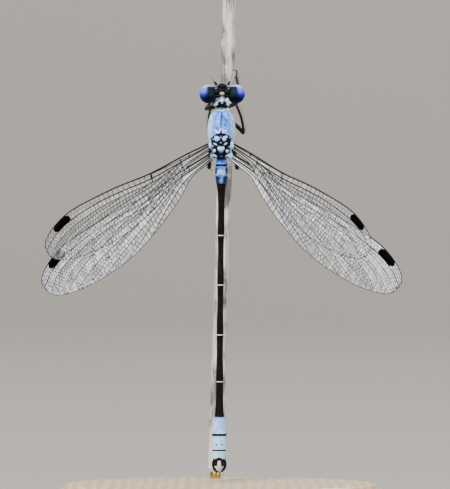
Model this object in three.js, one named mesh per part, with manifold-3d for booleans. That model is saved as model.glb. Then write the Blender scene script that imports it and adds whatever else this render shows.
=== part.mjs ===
// A male spreadwing damselfly, life size, clinging head up to a cut length of dry stem
// on a small display stand.
// Millimetres. +Z is up, the insect's back faces -Y, +X is the viewer's right when facing its back.
// The origin is the centre of the stand's underside.
import * as THREE from "three";
import { mergeVertices } from "three/addons/utils/BufferGeometryUtils.js";
import Module from "manifold-3d";

const wasm = await Module();
wasm.setup();

// Driving dimensions
const GAP = 0.3;
const BODY_LENGTH = 43.1;
const BASE_RADIUS = 19;
const BASE_THICKNESS = 4;
const TAIL_CLEARANCE = 1.2;
const ROD_RADIUS = 0.6;
const STEM_RADIUS = 0.85;
const STEM_ABOVE_HEAD = 10.6;
const STEM_CLEARANCE = 1.3;
const STEM_LEAN = 0.0303;
const STEM_DEPTH = 5.3;
const HEAD_TOP = BASE_THICKNESS + TAIL_CLEARANCE + BODY_LENGTH;
const EYE_RADIUS = 1.03;
const EYE_SPREAD = 1.51;
const FOREWING_LENGTH = 25.4;
const HINDWING_LENGTH = 24.35;
const FOREWING_CHORD = 0.97;
const MEMBRANE = 0.5;
const STIGMA_RISE = 0.18;

// Colours
const COLOURS = {
  pruina: 0x9fb9dd,
  bronze: 0x241d1a,
  black: 0x15161c,
  eye: 0x3c47a8,
  face: 0x1b2227,
  mouth: 0x8fa5bd,
  leg: 0x1f1c1a,
  wing: 0xd9dade,
  stem: 0xb9ad9c,
  wood: 0xc2ab8b,
  brass: 0xa8894f,
};

const part = new THREE.Group();
part.name = "damselfly_on_stem";

function add(name, geometry, colour, roughness = 0.6, metalness = 0) {
  const material = new THREE.MeshStandardMaterial({ color: COLOURS[colour], roughness, metalness });
  const mesh = new THREE.Mesh(geometry, material);
  mesh.name = name;
  part.add(mesh);
  return mesh;
}

// The body's midline leans and bends a little: sideways shift at a distance below the head's front.
const MIDLINE = new THREE.CatmullRomCurve3(
  [
    [0, 0.22], [2.5, 0.15], [6, 0.1], [12, 0.1], [22, 0.0], [31, -0.08], [39, -0.14], [44, -0.15],
  ].map(([along, shift]) => new THREE.Vector3(along, shift, 0)),
);

function midline(along) {
  const share = THREE.MathUtils.clamp(along / 44, 0, 1);
  let low = 0;
  let high = 1;
  for (let i = 0; i < 24; i++) {
    const middle = (low + high) / 2;
    if (MIDLINE.getPoint(middle).x < share * 44) low = middle;
    else high = middle;
  }
  return MIDLINE.getPoint(low).y;
}

// A point of the body: lateral to the right, dorsal towards the viewer,
// along from the head's front to the tail.
function place(lateral, dorsal, along) {
  return new THREE.Vector3(midline(along) + lateral, -dorsal, HEAD_TOP - along);
}

// Solids and geometry
function solidOf(geometry) {
  const bare = geometry.index ? geometry.toNonIndexed() : geometry.clone();
  const positions = new THREE.BufferGeometry().setAttribute("position", bare.getAttribute("position"));
  const merged = mergeVertices(positions, 1e-4);
  const mesh = new wasm.Mesh({
    numProp: 3,
    vertProperties: merged.attributes.position.array,
    triVerts: new Uint32Array(merged.index.array),
  });
  return new wasm.Manifold(mesh);
}

function geometryOf(solid) {
  const largest = solid.decompose().sort((a, b) => b.volume() - a.volume())[0];
  const mesh = largest.getMesh();
  const geometry = new THREE.BufferGeometry();
  geometry.setAttribute("position", new THREE.BufferAttribute(new Float32Array(mesh.vertProperties), 3));
  geometry.setIndex(new THREE.BufferAttribute(new Uint32Array(mesh.triVerts), 1));
  return geometry;
}

function fuse(geometries) {
  return geometries.map(solidOf).reduce((sum, next) => sum.add(next));
}

// A closed skin over rings of equally many points, with a flat fan at each end.
function loft(rings) {
  const sides = rings[0].length;
  const points = rings.flat();
  const first = points.length;
  const centreOf = (ring) =>
    ring.reduce((sum, p) => sum.add(p), new THREE.Vector3()).divideScalar(ring.length);
  points.push(centreOf(rings[0]), centreOf(rings[rings.length - 1]));
  const faces = [];
  for (let r = 0; r < rings.length - 1; r++) {
    for (let s = 0; s < sides; s++) {
      const a = r * sides + s;
      const b = r * sides + ((s + 1) % sides);
      faces.push(a, b, a + sides, b, b + sides, a + sides);
    }
  }
  const last = (rings.length - 1) * sides;
  for (let s = 0; s < sides; s++) {
    const next = (s + 1) % sides;
    faces.push(first, next, s);
    faces.push(first + 1, last + s, last + next);
  }
  const geometry = new THREE.BufferGeometry().setFromPoints(points);
  geometry.setIndex(faces);
  const volume = new wasm.Manifold(
    new wasm.Mesh({
      numProp: 3,
      vertProperties: new Float32Array(geometry.attributes.position.array),
      triVerts: new Uint32Array(faces),
    }),
  ).volume();
  if (volume < 0) {
    for (let i = 0; i < faces.length; i += 3) [faces[i + 1], faces[i + 2]] = [faces[i + 2], faces[i + 1]];
    geometry.setIndex(faces);
  }
  return geometry;
}

// A tube of changing radius along a smooth path, as for a limb or feeler.
function limb(points, radii, sides = 10, steps = 8, flatten = 1) {
  const curve = new THREE.CatmullRomCurve3(points);
  const frames = curve.computeFrenetFrames(steps, false);
  const rings = [];
  for (let i = 0; i <= steps; i++) {
    const share = (i / steps) * (radii.length - 1);
    const low = Math.min(Math.floor(share), radii.length - 2);
    const radius = THREE.MathUtils.lerp(radii[low], radii[low + 1], share - low);
    const centre = curve.getPointAt(i / steps);
    const ring = [];
    for (let s = 0; s < sides; s++) {
      const angle = (s / sides) * 2 * Math.PI;
      ring.push(
        centre
          .clone()
          .addScaledVector(frames.normals[i], radius * Math.cos(angle) * flatten)
          .addScaledVector(frames.binormals[i], radius * Math.sin(angle)),
      );
    }
    rings.push(ring);
  }
  return loft(rings);
}

// A section of the body across its length: half width, back and belly heights, and how square it is.
function section(along, half, back, belly, sides = 16, square = 2) {
  const middle = (back + belly) / 2;
  const tall = (back - belly) / 2;
  const ring = [];
  for (let s = 0; s < sides; s++) {
    const angle = (s / sides) * 2 * Math.PI;
    const c = Math.cos(angle);
    const d = Math.sin(angle);
    const x = half * Math.sign(c) * Math.abs(c) ** (2 / square);
    const y = middle + tall * Math.sign(d) * Math.abs(d) ** (2 / square);
    ring.push(place(x, y, along));
  }
  return ring;
}

function ellipsoid(centre, halfX, halfY, halfZ, across = 16, down = 10) {
  return new THREE.SphereGeometry(1, across, down)
    .scale(halfX, halfY, halfZ)
    .translate(centre.x, centre.y, centre.z);
}

// Head
const HEAD_CENTRE = 0.62;
const EYE_CENTRE = 1.06;
const EYE_SIZE = [EYE_RADIUS, EYE_RADIUS * 1.16, EYE_RADIUS * 1.03];

function eyeAt(side, grow, across = 18, down = 12) {
  const centre = place(side * EYE_SPREAD, -0.15, EYE_CENTRE);
  return ellipsoid(centre, ...EYE_SIZE.map((size) => size + grow), across, down);
}

function upperLip(grow = 0) {
  return ellipsoid(place(0, -1.42, 0.06), 0.55 + grow, 0.33 + grow, 0.36 + grow, 14, 8);
}

function lowerLip(grow = 0) {
  return ellipsoid(place(0, -1.48, 1.1), 0.5 + grow, 0.32 + grow, 0.42 + grow, 14, 8);
}

function headSolid() {
  const crown = ellipsoid(place(0, -0.1, HEAD_CENTRE), 0.95, 0.95, 0.6, 18, 12);
  const bridge = ellipsoid(place(0, -0.2, 0.85), 1.75, 0.75, 0.6, 20, 10);
  const frons = ellipsoid(place(0, -0.45, 0.25), 0.62, 0.55, 0.4, 14, 10);
  const ocelli = [
    ellipsoid(place(0, 0.78, 0.42), 0.13, 0.12, 0.13, 8, 6),
    ellipsoid(place(-0.24, 0.76, 0.68), 0.13, 0.12, 0.13, 8, 6),
    ellipsoid(place(0.24, 0.76, 0.68), 0.13, 0.12, 0.13, 8, 6),
  ];
  const jaws = [-1, 1].flatMap((side) => [
    ellipsoid(place(side * 0.6, -0.95, 0.5), 0.34, 0.4, 0.36, 12, 8),
    ellipsoid(place(side * 0.42, -1.3, 0.56), 0.26, 0.34, 0.24, 12, 8),
  ]);
  let solid = fuse([crown, bridge, frons, ...jaws, ...ocelli]);
  for (const side of [-1, 1]) solid = solid.subtract(solidOf(eyeAt(side, GAP)));
  return solid.subtract(solidOf(upperLip(GAP))).subtract(solidOf(lowerLip(GAP)));
}

// Antenna: a stout base and a tapering whip.
const ANTENNA_LENGTH = 1.5;

function antenna(side, spread) {
  const root = place(side * 0.64, -0.3, -0.2);
  const way = new THREE.Vector3(side * spread, -0.35, 1).normalize();
  const tip = root.clone().addScaledVector(way, ANTENNA_LENGTH);
  const bend = root.clone().lerp(tip, 0.45).add(new THREE.Vector3(0, -0.08, 0.06));
  return limb([root, bend, tip], [0.25, 0.25, 0.15, 0.1, 0.06], 8, 8);
}

// Thorax stations: along, half width, back, belly
const THORAX = [
  [2.95, 0.78, 0.6, -1.25],
  [3.2, 1.12, 0.98, -1.6],
  [3.7, 1.38, 1.3, -1.95],
  [4.4, 1.5, 1.62, -2.15],
  [5.2, 1.56, 1.86, -2.2],
  [6.0, 1.46, 1.94, -2.05],
  [6.7, 1.28, 1.8, -1.8],
  [7.4, 1.04, 1.56, -1.5],
  [7.95, 0.8, 1.25, -1.15],
  [8.25, 0.56, 0.92, -0.85],
];
const FOREWING_ROOT = { lateral: 1.32, dorsal: 1.62, along: 6.95 };
const HINDWING_ROOT = { lateral: 1.14, dorsal: 1.1, along: 8.08 };

// Wings: tilt raises each towards the viewer, sweep drops its tip below level.
const WINGS = {
  forewing_left: { side: -1, root: FOREWING_ROOT, tilt: 39, sweep: 26.5, fore: true },
  forewing_right: { side: 1, root: FOREWING_ROOT, tilt: 49.5, sweep: 26, fore: true },
  hindwing_left: { side: -1, root: HINDWING_ROOT, tilt: 21, sweep: 36, fore: false },
  hindwing_right: { side: 1, root: HINDWING_ROOT, tilt: 21, sweep: 35.5, fore: false },
};

// A wing's own axes: out along the span, towards the leading edge, and across the membrane.
function wingMatrix({ side, root, tilt, sweep }) {
  const t = THREE.MathUtils.degToRad(tilt);
  const s = THREE.MathUtils.degToRad(sweep);
  const out = new THREE.Vector3(side * Math.cos(t), -Math.sin(t), 0);
  const up = new THREE.Vector3(0, 0, 1);
  const span = out.clone().multiplyScalar(Math.cos(s)).addScaledVector(up, -Math.sin(s));
  const lead = out.clone().multiplyScalar(Math.sin(s)).addScaledVector(up, Math.cos(s));
  const across = span.clone().cross(lead);
  const at = place(side * root.lateral, root.dorsal, root.along);
  return new THREE.Matrix4().makeBasis(span, lead, across).setPosition(at);
}

function thoraxSolid() {
  const trunk = loft(THORAX.map((station) => section(...station, 18, 2.25)));
  const carina = limb(
    [place(0, 0.9, 3.15), place(0, 1.5, 4.1), place(0, 1.8, 4.9), place(0, 1.92, 5.5)],
    [0.12, 0.15, 0.15, 0.17],
    8,
    6,
  );
  const terga = [
    ellipsoid(place(-0.44, 1.72, 6.1), 0.34, 0.36, 0.36, 12, 8),
    ellipsoid(place(0.4, 1.72, 6.1), 0.34, 0.36, 0.36, 12, 8),
    ellipsoid(place(-0.03, 1.5, 7.22), 0.5, 0.36, 0.36, 14, 8),
    ellipsoid(place(0, 1.16, 7.85), 0.42, 0.3, 0.28, 12, 8),
  ];
  const crests = [-1, 1].map((side) => {
    const path = [place(0, 1.88, 5.5), place(side * 0.5, 1.84, 5.6), place(side * 0.95, 1.62, 5.78)];
    return limb(path, [0.15, 0.17, 0.14], 8, 5);
  });
  const sockets = Object.values(WINGS).map((wing) => {
    const inner = new THREE.Vector3(-1.0, 0, 0);
    const outer = new THREE.Vector3(-GAP, 0, 0);
    const matrix = wingMatrix(wing);
    return limb([inner.applyMatrix4(matrix), outer.applyMatrix4(matrix)], [0.5, 0.42], 10, 2);
  });
  const hips = LEGS.filter((leg) => !leg.name.startsWith("fore")).map(({ side, hip }) => {
    const inner = place(side * 0.45, -1.5, hip[2] + 0.1);
    const outer = place(side * 0.6, -2.05, hip[2]);
    return limb([inner, outer], [0.5, 0.4], 10, 2);
  });
  return fuse([trunk, carina, ...terga, ...crests, ...sockets, ...hips]);
}

// Prothorax with its raised middle lobe, cut clear of the eyes that overhang it.
function prothoraxSolid() {
  const collar = loft([
    section(1.76, 0.34, 0.45, -0.6, 16),
    section(1.92, 0.66, 0.7, -0.95, 16),
    section(2.15, 0.8, 0.8, -1.2, 16),
    section(2.42, 0.78, 0.7, -1.3, 16),
    section(2.65, 0.5, 0.5, -1.1, 16),
  ]);
  const lobe = ellipsoid(place(0, 0.6, 2.12), 0.5, 0.34, 0.36, 14, 8);
  const hips = [-1, 1].map((side) =>
    limb([place(side * 0.3, -0.8, 2.32), place(side * 0.42, -1.35, 2.34)], [0.38, 0.3], 10, 2),
  );
  let solid = fuse([collar, lobe, ...hips]);
  for (const side of [-1, 1]) solid = solid.subtract(solidOf(eyeAt(side, GAP)));
  return solid;
}

// Abdomen segments: start, end, then half widths at start, middle and end
const SEGMENTS = [
  [8.45, 9.0, 0.6, 0.64, 0.66],
  [9.0, 11.25, 0.66, 0.7, 0.56],
  [11.25, 16.75, 0.48, 0.36, 0.4],
  [16.75, 22.25, 0.37, 0.31, 0.38],
  [22.25, 27.8, 0.36, 0.32, 0.39],
  [27.8, 33.0, 0.37, 0.34, 0.42],
  [33.0, 36.95, 0.4, 0.42, 0.54],
  [36.95, 38.95, 0.6, 0.76, 0.84],
  [38.95, 40.65, 0.84, 0.85, 0.82],
  [40.65, 41.75, 0.78, 0.78, 0.72],
];

// The abdomen's midline depth: level with the thorax's end, then drooping a little towards the stem.
function abdomenDorsal(along) {
  const share = (along - 8.4) / (BODY_LENGTH - 8.4);
  return 0.05 - 0.55 * share;
}

// Each segment stops half a gap short at either end, and its two ends are a little drawn in.
function segment([start, end, first, middle, last]) {
  const { lerp } = THREE.MathUtils;
  const rings = [0, 0.06, 0.5, 0.94, 1].map((share) => {
    const along = lerp(start + GAP / 2, end - GAP / 2, share);
    const half = share < 0.5 ? lerp(first, middle, share * 2) : lerp(middle, last, share * 2 - 1);
    const radius = share === 0 || share === 1 ? half * 0.86 : half;
    const dorsal = abdomenDorsal(along);
    return section(along, radius, dorsal + radius * 1.06, dorsal - radius * 1.06, 14, 2);
  });
  return loft(rings);
}

// Claspers: the upper pair curves to meet tip to tip, the lower pair is short.
function cercus(side) {
  const at = (lateral, along, lift = 0) => place(side * lateral, abdomenDorsal(along) + 0.25 + lift, along);
  return limb(
    [at(0.42, 41.92), at(0.6, 42.25), at(0.58, 42.62, 0.02), at(0.4, 42.92, 0.02), at(0.28, 43.02)],
    [0.22, 0.27, 0.26, 0.22, 0.13],
    10,
    10,
  );
}

function paraproct(side) {
  const at = (lateral, along, drop) => place(side * lateral, abdomenDorsal(along) - drop, along);
  return limb([at(0.36, 41.92, 0.3), at(0.38, 42.2, 0.34), at(0.34, 42.45, 0.34)], [0.22, 0.22, 0.12], 8, 5);
}

// Legs: joints, each as lateral, depth towards the stem, and distance along.
const LEGS = [
  {
    name: "fore_left",
    side: -1,
    hip: [-0.46, 1.8, 2.35],
    trochanter: [-0.75, 2.2, 2.45],
    knee: [-1.72, 3.6, 2.6],
    ankle: [-0.78, 4.7, 1.2],
    claw: [-0.74, 5.4, 0.1],
  },
  {
    name: "fore_right",
    side: 1,
    hip: [0.46, 1.8, 2.35],
    trochanter: [0.8, 2.2, 2.4],
    knee: [2.05, 3.5, 1.55],
    ankle: [1.52, 4.15, -1.0],
    claw: [1.6, 4.35, -1.65],
  },
  {
    name: "mid_left",
    side: -1,
    hip: [-0.62, 2.5, 3.9],
    trochanter: [-0.9, 2.85, 4.0],
    knee: [-1.3, 3.6, 5.6],
    ankle: [-1.3, 4.75, 2.5],
    claw: [-0.76, 5.4, 1.7],
  },
  {
    name: "mid_right",
    side: 1,
    hip: [0.62, 2.5, 3.9],
    trochanter: [0.95, 2.85, 4.0],
    knee: [2.38, 3.75, 5.25],
    ankle: [1.6, 4.3, 2.15],
    claw: [1.78, 5.2, 1.3],
  },
  {
    name: "hind_left",
    side: -1,
    hip: [-0.62, 2.5, 5.25],
    trochanter: [-0.85, 2.9, 5.6],
    knee: [-1.38, 3.15, 9.15],
    ankle: [-0.98, 4.8, 6.2],
    claw: [-0.76, 5.4, 5.3],
  },
  {
    name: "hind_right",
    side: 1,
    hip: [0.62, 2.5, 5.25],
    trochanter: [0.85, 2.9, 5.6],
    knee: [1.75, 3.15, 9.2],
    ankle: [1.1, 4.0, 6.1],
    claw: [0.95, 4.05, 5.1],
  },
];

const LEG_RADII = {
  coxa: [0.34, 0.36, 0.3],
  femur: [0.25, 0.28, 0.27, 0.25],
  tibia: [0.25, 0.25, 0.25, 0.25],
  tarsus: [0.25, 0.25, 0.22, 0.12],
};

// One length of a leg, bowed a little, that starts clear of the length before it.
function legPiece(from, to, radii, bow = new THREE.Vector3(), clear = 0) {
  const start = from.clone().addScaledVector(to.clone().sub(from).normalize(), clear);
  const middle = start.clone().lerp(to, 0.5).add(bow);
  return limb([start, middle, to], radii, 8, 4);
}

// Where the tibia starts: beside the femur's end, on the side it folds to.
function kneeSide(trochanter, knee, ankle) {
  const femur = knee.clone().sub(trochanter).normalize();
  const tibia = ankle.clone().sub(knee).normalize();
  const fold = femur.dot(tibia);
  const aside = tibia.addScaledVector(femur, -fold).normalize();
  return knee.clone().addScaledVector(aside, 0.55 + 0.25 * Math.abs(fold));
}

function buildLegs() {
  for (const { name, side, ...joints } of LEGS) {
    const [hip, trochanter, knee, ankle, claw] = ["hip", "trochanter", "knee", "ankle", "claw"].map(
      (joint) => place(joints[joint][0], -joints[joint][1], joints[joint][2]),
    );
    const outward = new THREE.Vector3(side * 0.12, 0, 0);
    add(`coxa_${name}`, legPiece(hip, trochanter, LEG_RADII.coxa), "leg");
    add(`femur_${name}`, legPiece(trochanter, knee, LEG_RADII.femur, outward, 0.5), "leg");
    add(`tibia_${name}`, legPiece(kneeSide(trochanter, knee, ankle), ankle, LEG_RADII.tibia, outward), "leg");
    add(`tarsus_${name}`, legPiece(ankle, claw, LEG_RADII.tarsus, undefined, 0.45), "leg");
  }
}

// Wing outline of a hindwing 24.8 mm long: out along the leading edge, back along the trailing edge.
const WING_OUTLINE = [
  [0, 0.36], [3.4, 0.7], [8.6, 1.05], [13, 1.74], [16.3, 2.08], [19.3, 2.26], [21.2, 2.12], [23.0, 1.62],
  [24.2, 0.96], [24.75, 0.1], [24.7, -0.9], [23.9, -1.8], [22.5, -2.45], [20, -3.13], [16.5, -3.5],
  [13.5, -3.42], [10.9, -2.98], [7.8, -2.2], [5.2, -1.3], [3.7, -0.6], [2.6, -0.38], [0, -0.36],
];
const OUTLINE_SPAN = 24.8;

// Main veins in the frame of the outline. Each has a rise of its own, so no two crests coincide.
const VEINS = {
  costa: {
    rise: 0.15,
    path: [
      [0.1, 0.27], [3.4, 0.56], [8.6, 0.9], [13, 1.58], [16.3, 1.92], [19.3, 2.1], [21.2, 1.96], [23.0, 1.46],
      [24.05, 0.86],
    ],
  },
  radius: {
    rise: 0.16,
    path: [
      [0.1, 0.06], [3.4, 0.24], [8.6, 0.47], [13, 1.08], [16.3, 1.4], [20.4, 1.33], [22.9, 0.76], [24.2, 0.0],
    ],
  },
  radial_posterior: {
    rise: 0.13,
    path: [[4.3, 0.08], [8.6, 0.06], [13, 0.54], [16.3, 0.8], [20.4, 0.6], [22.9, -0.07], [24.2, -0.88]],
  },
  intercalary: {
    rise: 0.11,
    path: [[6.4, -0.02], [9.5, -0.32], [13, -0.16], [17, -0.22], [21, -0.82], [23.4, -1.66]],
  },
  radial_fork: {
    rise: 0.12,
    path: [[6.0, -0.12], [9.5, -0.77], [13, -0.97], [17, -1.37], [20.5, -2.07], [22.1, -2.36]],
  },
  medial_anterior: {
    rise: 0.11,
    path: [[4.5, -0.1], [6.0, -0.32], [9.5, -1.27], [13, -1.97], [16.0, -2.72], [17.9, -3.15]],
  },
  medial_posterior: { rise: 0.1, path: [[6.1, -0.37], [8.5, -1.37], [11, -2.22], [13.2, -3.1]] },
  cubital: {
    rise: 0.14,
    path: [[0.1, -0.2], [2.6, -0.21], [4.2, -0.35], [6.4, -1.05], [8.6, -1.9], [10.3, -2.62]],
  },
  nodus: { rise: 0.09, path: [[8.6, 0.86], [8.72, 0.12]] },
  arculus: { rise: 0.08, path: [[4.22, 0.5], [4.36, -0.3]] },
};
const VEIN_HALF_WIDTH = 0.36;
const STIGMA = [[20.5, 1.96], [22.7, 1.5], [23.1, 0.85], [20.9, 1.36]];

function outlinePoint([x, y], wing) {
  const length = wing.fore ? FOREWING_LENGTH : HINDWING_LENGTH;
  const chord = wing.fore ? FOREWING_CHORD : 1;
  return new THREE.Vector2((x * length) / OUTLINE_SPAN, y * chord);
}

// A vein is a bar of diamond section, taller than the membrane, so that only its crests stand out.
function veinBar({ rise, path }, wing) {
  const curve = new THREE.SplineCurve(path.map((p) => outlinePoint(p, wing)));
  const steps = path.length - 1;
  const tall = MEMBRANE / 2 + rise;
  const rings = [];
  for (let i = 0; i <= steps; i++) {
    const at = curve.getPoint(i / steps);
    const way = curve.getTangent(i / steps);
    const aside = new THREE.Vector2(-way.y, way.x).multiplyScalar(VEIN_HALF_WIDTH);
    rings.push([
      new THREE.Vector3(at.x, at.y, tall),
      new THREE.Vector3(at.x + aside.x, at.y + aside.y, 0),
      new THREE.Vector3(at.x, at.y, -tall),
      new THREE.Vector3(at.x - aside.x, at.y - aside.y, 0),
    ]);
  }
  return loft(rings);
}

function wingSolid(wing) {
  const outline = new THREE.Shape();
  const rim = WING_OUTLINE.map((p) => outlinePoint(p, wing));
  outline.moveTo(rim[0].x, rim[0].y);
  outline.splineThru(rim.slice(1));
  const membrane = new THREE.ExtrudeGeometry(outline, {
    depth: MEMBRANE,
    bevelEnabled: false,
    curveSegments: 2,
  });
  membrane.translate(0, 0, -MEMBRANE / 2);
  const stigma = new THREE.ExtrudeGeometry(new THREE.Shape(STIGMA.map((p) => outlinePoint(p, wing))), {
    depth: MEMBRANE + 2 * STIGMA_RISE,
    bevelEnabled: false,
  });
  stigma.translate(0, 0, -MEMBRANE / 2 - STIGMA_RISE);
  const bars = Object.values(VEINS).map((vein) => veinBar(vein, wing));
  return fuse([membrane, stigma, ...bars]);
}

function buildWings() {
  for (const [name, wing] of Object.entries(WINGS)) {
    const mesh = add(name, geometryOf(wingSolid(wing)), "wing", 0.25);
    mesh.applyMatrix4(wingMatrix(wing));
  }
}

// Stem: a dry grass stalk with a swollen joint, cut square at both ends.
const STEM_TOP = HEAD_TOP + STEM_ABOVE_HEAD;
const STEM_BOTTOM = BASE_THICKNESS + STEM_CLEARANCE;
const STEM_JOINT = HEAD_TOP + 4.6;

function stemCentre(z) {
  const fromTop = HEAD_TOP - z;
  return new THREE.Vector3(0.73 - STEM_LEAN * fromTop, STEM_DEPTH, z);
}

function stem() {
  const rings = [];
  const steps = 16;
  for (let i = 0; i <= steps; i++) {
    const z = THREE.MathUtils.lerp(STEM_BOTTOM, STEM_TOP, i / steps);
    const swell = 0.1 * Math.exp(-(((z - STEM_JOINT) / 0.9) ** 2));
    const taper = 1 - 0.0012 * (z - STEM_BOTTOM);
    const radius = STEM_RADIUS * (1 + 0.05 * Math.sin(z * 0.21)) * taper + swell;
    const centre = stemCentre(z);
    const ring = [];
    for (let s = 0; s < 14; s++) {
      const angle = (s / 14) * 2 * Math.PI;
      const reach = radius * (1 - 0.035 * Math.cos(2 * angle + 0.6));
      ring.push(centre.clone().add(new THREE.Vector3(reach * Math.cos(angle), reach * Math.sin(angle), 0)));
    }
    rings.push(ring);
  }
  return loft(rings);
}

// Stand: a turned disc and a short rod under the stem.
function standBase() {
  const profile = [
    [0, 0], [BASE_RADIUS - 0.4, 0], [BASE_RADIUS, 0.4], [BASE_RADIUS, 2.4], [BASE_RADIUS - 0.5, 3.1],
    [BASE_RADIUS - 1.3, 3.5], [BASE_RADIUS - 2.0, BASE_THICKNESS], [0, BASE_THICKNESS],
  ].map(([x, y]) => new THREE.Vector2(x, y));
  return new THREE.LatheGeometry(profile, 48).rotateX(Math.PI / 2);
}

function standRod() {
  const foot = stemCentre(STEM_BOTTOM);
  const low = BASE_THICKNESS + GAP;
  const high = STEM_BOTTOM - GAP;
  return new THREE.CylinderGeometry(ROD_RADIUS, ROD_RADIUS, high - low, 20)
    .rotateX(Math.PI / 2)
    .translate(foot.x, foot.y, (low + high) / 2);
}

// Assembly
add("head", geometryOf(headSolid()), "face", 0.4);
for (const [label, side] of [["left", -1], ["right", 1]]) {
  add(`eye_${label}`, eyeAt(side, 0), "eye", 0.2);
  add(`antenna_${label}`, antenna(side, side < 0 ? 0.85 : 0.42), "black");
}
add("labrum", upperLip(), "mouth");
add("labium", lowerLip(), "mouth");
add("prothorax", geometryOf(prothoraxSolid()), "pruina");
add("synthorax", geometryOf(thoraxSolid()), "pruina");
SEGMENTS.forEach((sizes, index) => {
  const name = `abdomen_segment_${String(index + 1).padStart(2, "0")}`;
  const pale = index < 2 || index > 6;
  add(name, segment(sizes), pale ? "pruina" : "bronze", 0.4);
});
for (const [label, side] of [["left", -1], ["right", 1]]) {
  add(`cercus_${label}`, cercus(side), "black");
  add(`paraproct_${label}`, paraproct(side), "black");
}
buildLegs();
buildWings();
add("stem_perch", stem(), "stem", 0.9);
add("stand_base", standBase(), "wood", 0.5);
add("stand_rod", standRod(), "brass", 0.3, 1);

export default part;
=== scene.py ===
"""A life-size model of a male spreadwing damselfly gripping a dry stalk, on a small display stand.

Lengths are in millimetres until a mesh is made, and every mesh is written in metres.
Points of the body are (lateral, dorsal, along): to the viewer's right, towards the viewer, and back
from the front of the head.
"""
import math
import random

import bpy
import numpy as np
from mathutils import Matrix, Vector, noise


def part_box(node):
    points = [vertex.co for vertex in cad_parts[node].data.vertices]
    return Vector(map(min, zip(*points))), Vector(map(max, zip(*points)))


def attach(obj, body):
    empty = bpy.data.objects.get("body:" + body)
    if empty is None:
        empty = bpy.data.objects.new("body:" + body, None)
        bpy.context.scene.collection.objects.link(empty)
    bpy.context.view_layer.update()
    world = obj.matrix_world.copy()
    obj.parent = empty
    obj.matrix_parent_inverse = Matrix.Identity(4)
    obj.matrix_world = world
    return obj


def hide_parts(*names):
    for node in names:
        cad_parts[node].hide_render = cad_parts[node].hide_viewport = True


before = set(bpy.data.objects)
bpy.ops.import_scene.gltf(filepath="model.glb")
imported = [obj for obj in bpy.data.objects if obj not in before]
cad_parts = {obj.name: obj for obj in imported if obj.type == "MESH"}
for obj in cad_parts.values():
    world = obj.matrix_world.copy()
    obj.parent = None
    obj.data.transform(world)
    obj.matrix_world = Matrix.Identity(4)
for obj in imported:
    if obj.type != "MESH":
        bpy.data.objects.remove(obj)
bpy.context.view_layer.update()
MM = 0.001

# frame of the body
BODY_LENGTH = 43.1
EYE_ALONG = 1.06
EYE_SPREAD = 1.51
EYE_LOW, EYE_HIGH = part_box("eye_left")
HEAD_TOP = (EYE_LOW.z + EYE_HIGH.z) / 2 / MM + EYE_ALONG
MID_ALONG = [0, 2.5, 6, 12, 22, 31, 39, 44]
MID_SHIFT = [0.22, 0.15, 0.1, 0.1, 0.0, -0.08, -0.14, -0.15]
TINY = 1e-12


def arrays(*values):
    return np.broadcast_arrays(*(np.asarray(v, float) for v in values))


def midline(along):
    """Sideways shift of the body's middle at a distance from the front of the head."""
    return np.interp(along, MID_ALONG, MID_SHIFT)


def place(lateral, dorsal, along):
    """World point in millimetres of a point of the body."""
    lateral, dorsal, along = arrays(lateral, dorsal, along)
    return np.stack([midline(along) + lateral, -dorsal, HEAD_TOP - along], -1)


def body_of(points):
    """(lateral, dorsal, along) of world points in millimetres."""
    along = HEAD_TOP - points[:, 2]
    return points[:, 0] - midline(along), -points[:, 1], along


def smooth(low, high, x):
    """Soft step from 0 at low to 1 at high."""
    t = np.clip((np.asarray(x, float) - low) / (high - low), 0, 1)
    return t * t * (3 - 2 * t)


def band(rise, fall, x):
    """One between the rise and the fall, each given as the start and end of a soft step."""
    return smooth(*rise, x) * (1 - smooth(*fall, x))


def bump(x, centre, width):
    """Soft hill of height one."""
    return np.exp(-(((np.asarray(x, float) - centre) / width) ** 2))


def unit(vector):
    return vector / np.linalg.norm(vector)


def turns(count):
    """Angles of a full turn in equal steps."""
    return np.linspace(0, 2 * math.pi, count, endpoint=False)


def grain(points, scale, seed=0.0):
    """Smooth noise from -1 to 1 at each point; scale is the size of a blot in millimetres."""
    spots = ((x / scale + seed, y / scale - seed, z / scale) for x, y, z in points)
    return np.array([noise.noise(Vector(spot)) for spot in spots])


# mesh helpers; a tube's first side points SIDEWAYS, or across SPARE_SIDE where its path runs that way
SIDEWAYS = (0.31, 0.87, 0.38)
SPARE_SIDE = (0.2, 0.3, 0.93)
TOO_SHORT = 1e-4


class Soup:
    """Collects vertices and faces of many small closed forms for one mesh."""

    def __init__(self):
        self.points, self.faces, self.count = [], [], 0

    def add(self, points, faces):
        points = np.asarray(points, float).reshape(-1, 3)
        self.points.append(points)
        self.faces.extend([tuple(i + self.count for i in face) for face in faces])
        self.count += len(points)

    def array(self):
        return np.concatenate(self.points)


def loft_faces(rings, sides, closed_ends=True):
    faces = []
    for r in range(rings - 1):
        for s in range(sides):
            n = (s + 1) % sides
            faces.append((r * sides + s, r * sides + n, (r + 1) * sides + n, (r + 1) * sides + s))
    if closed_ends:
        faces.append(tuple(range(sides))[::-1])
        faces.append(tuple((rings - 1) * sides + s for s in range(sides)))
    return faces


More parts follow.
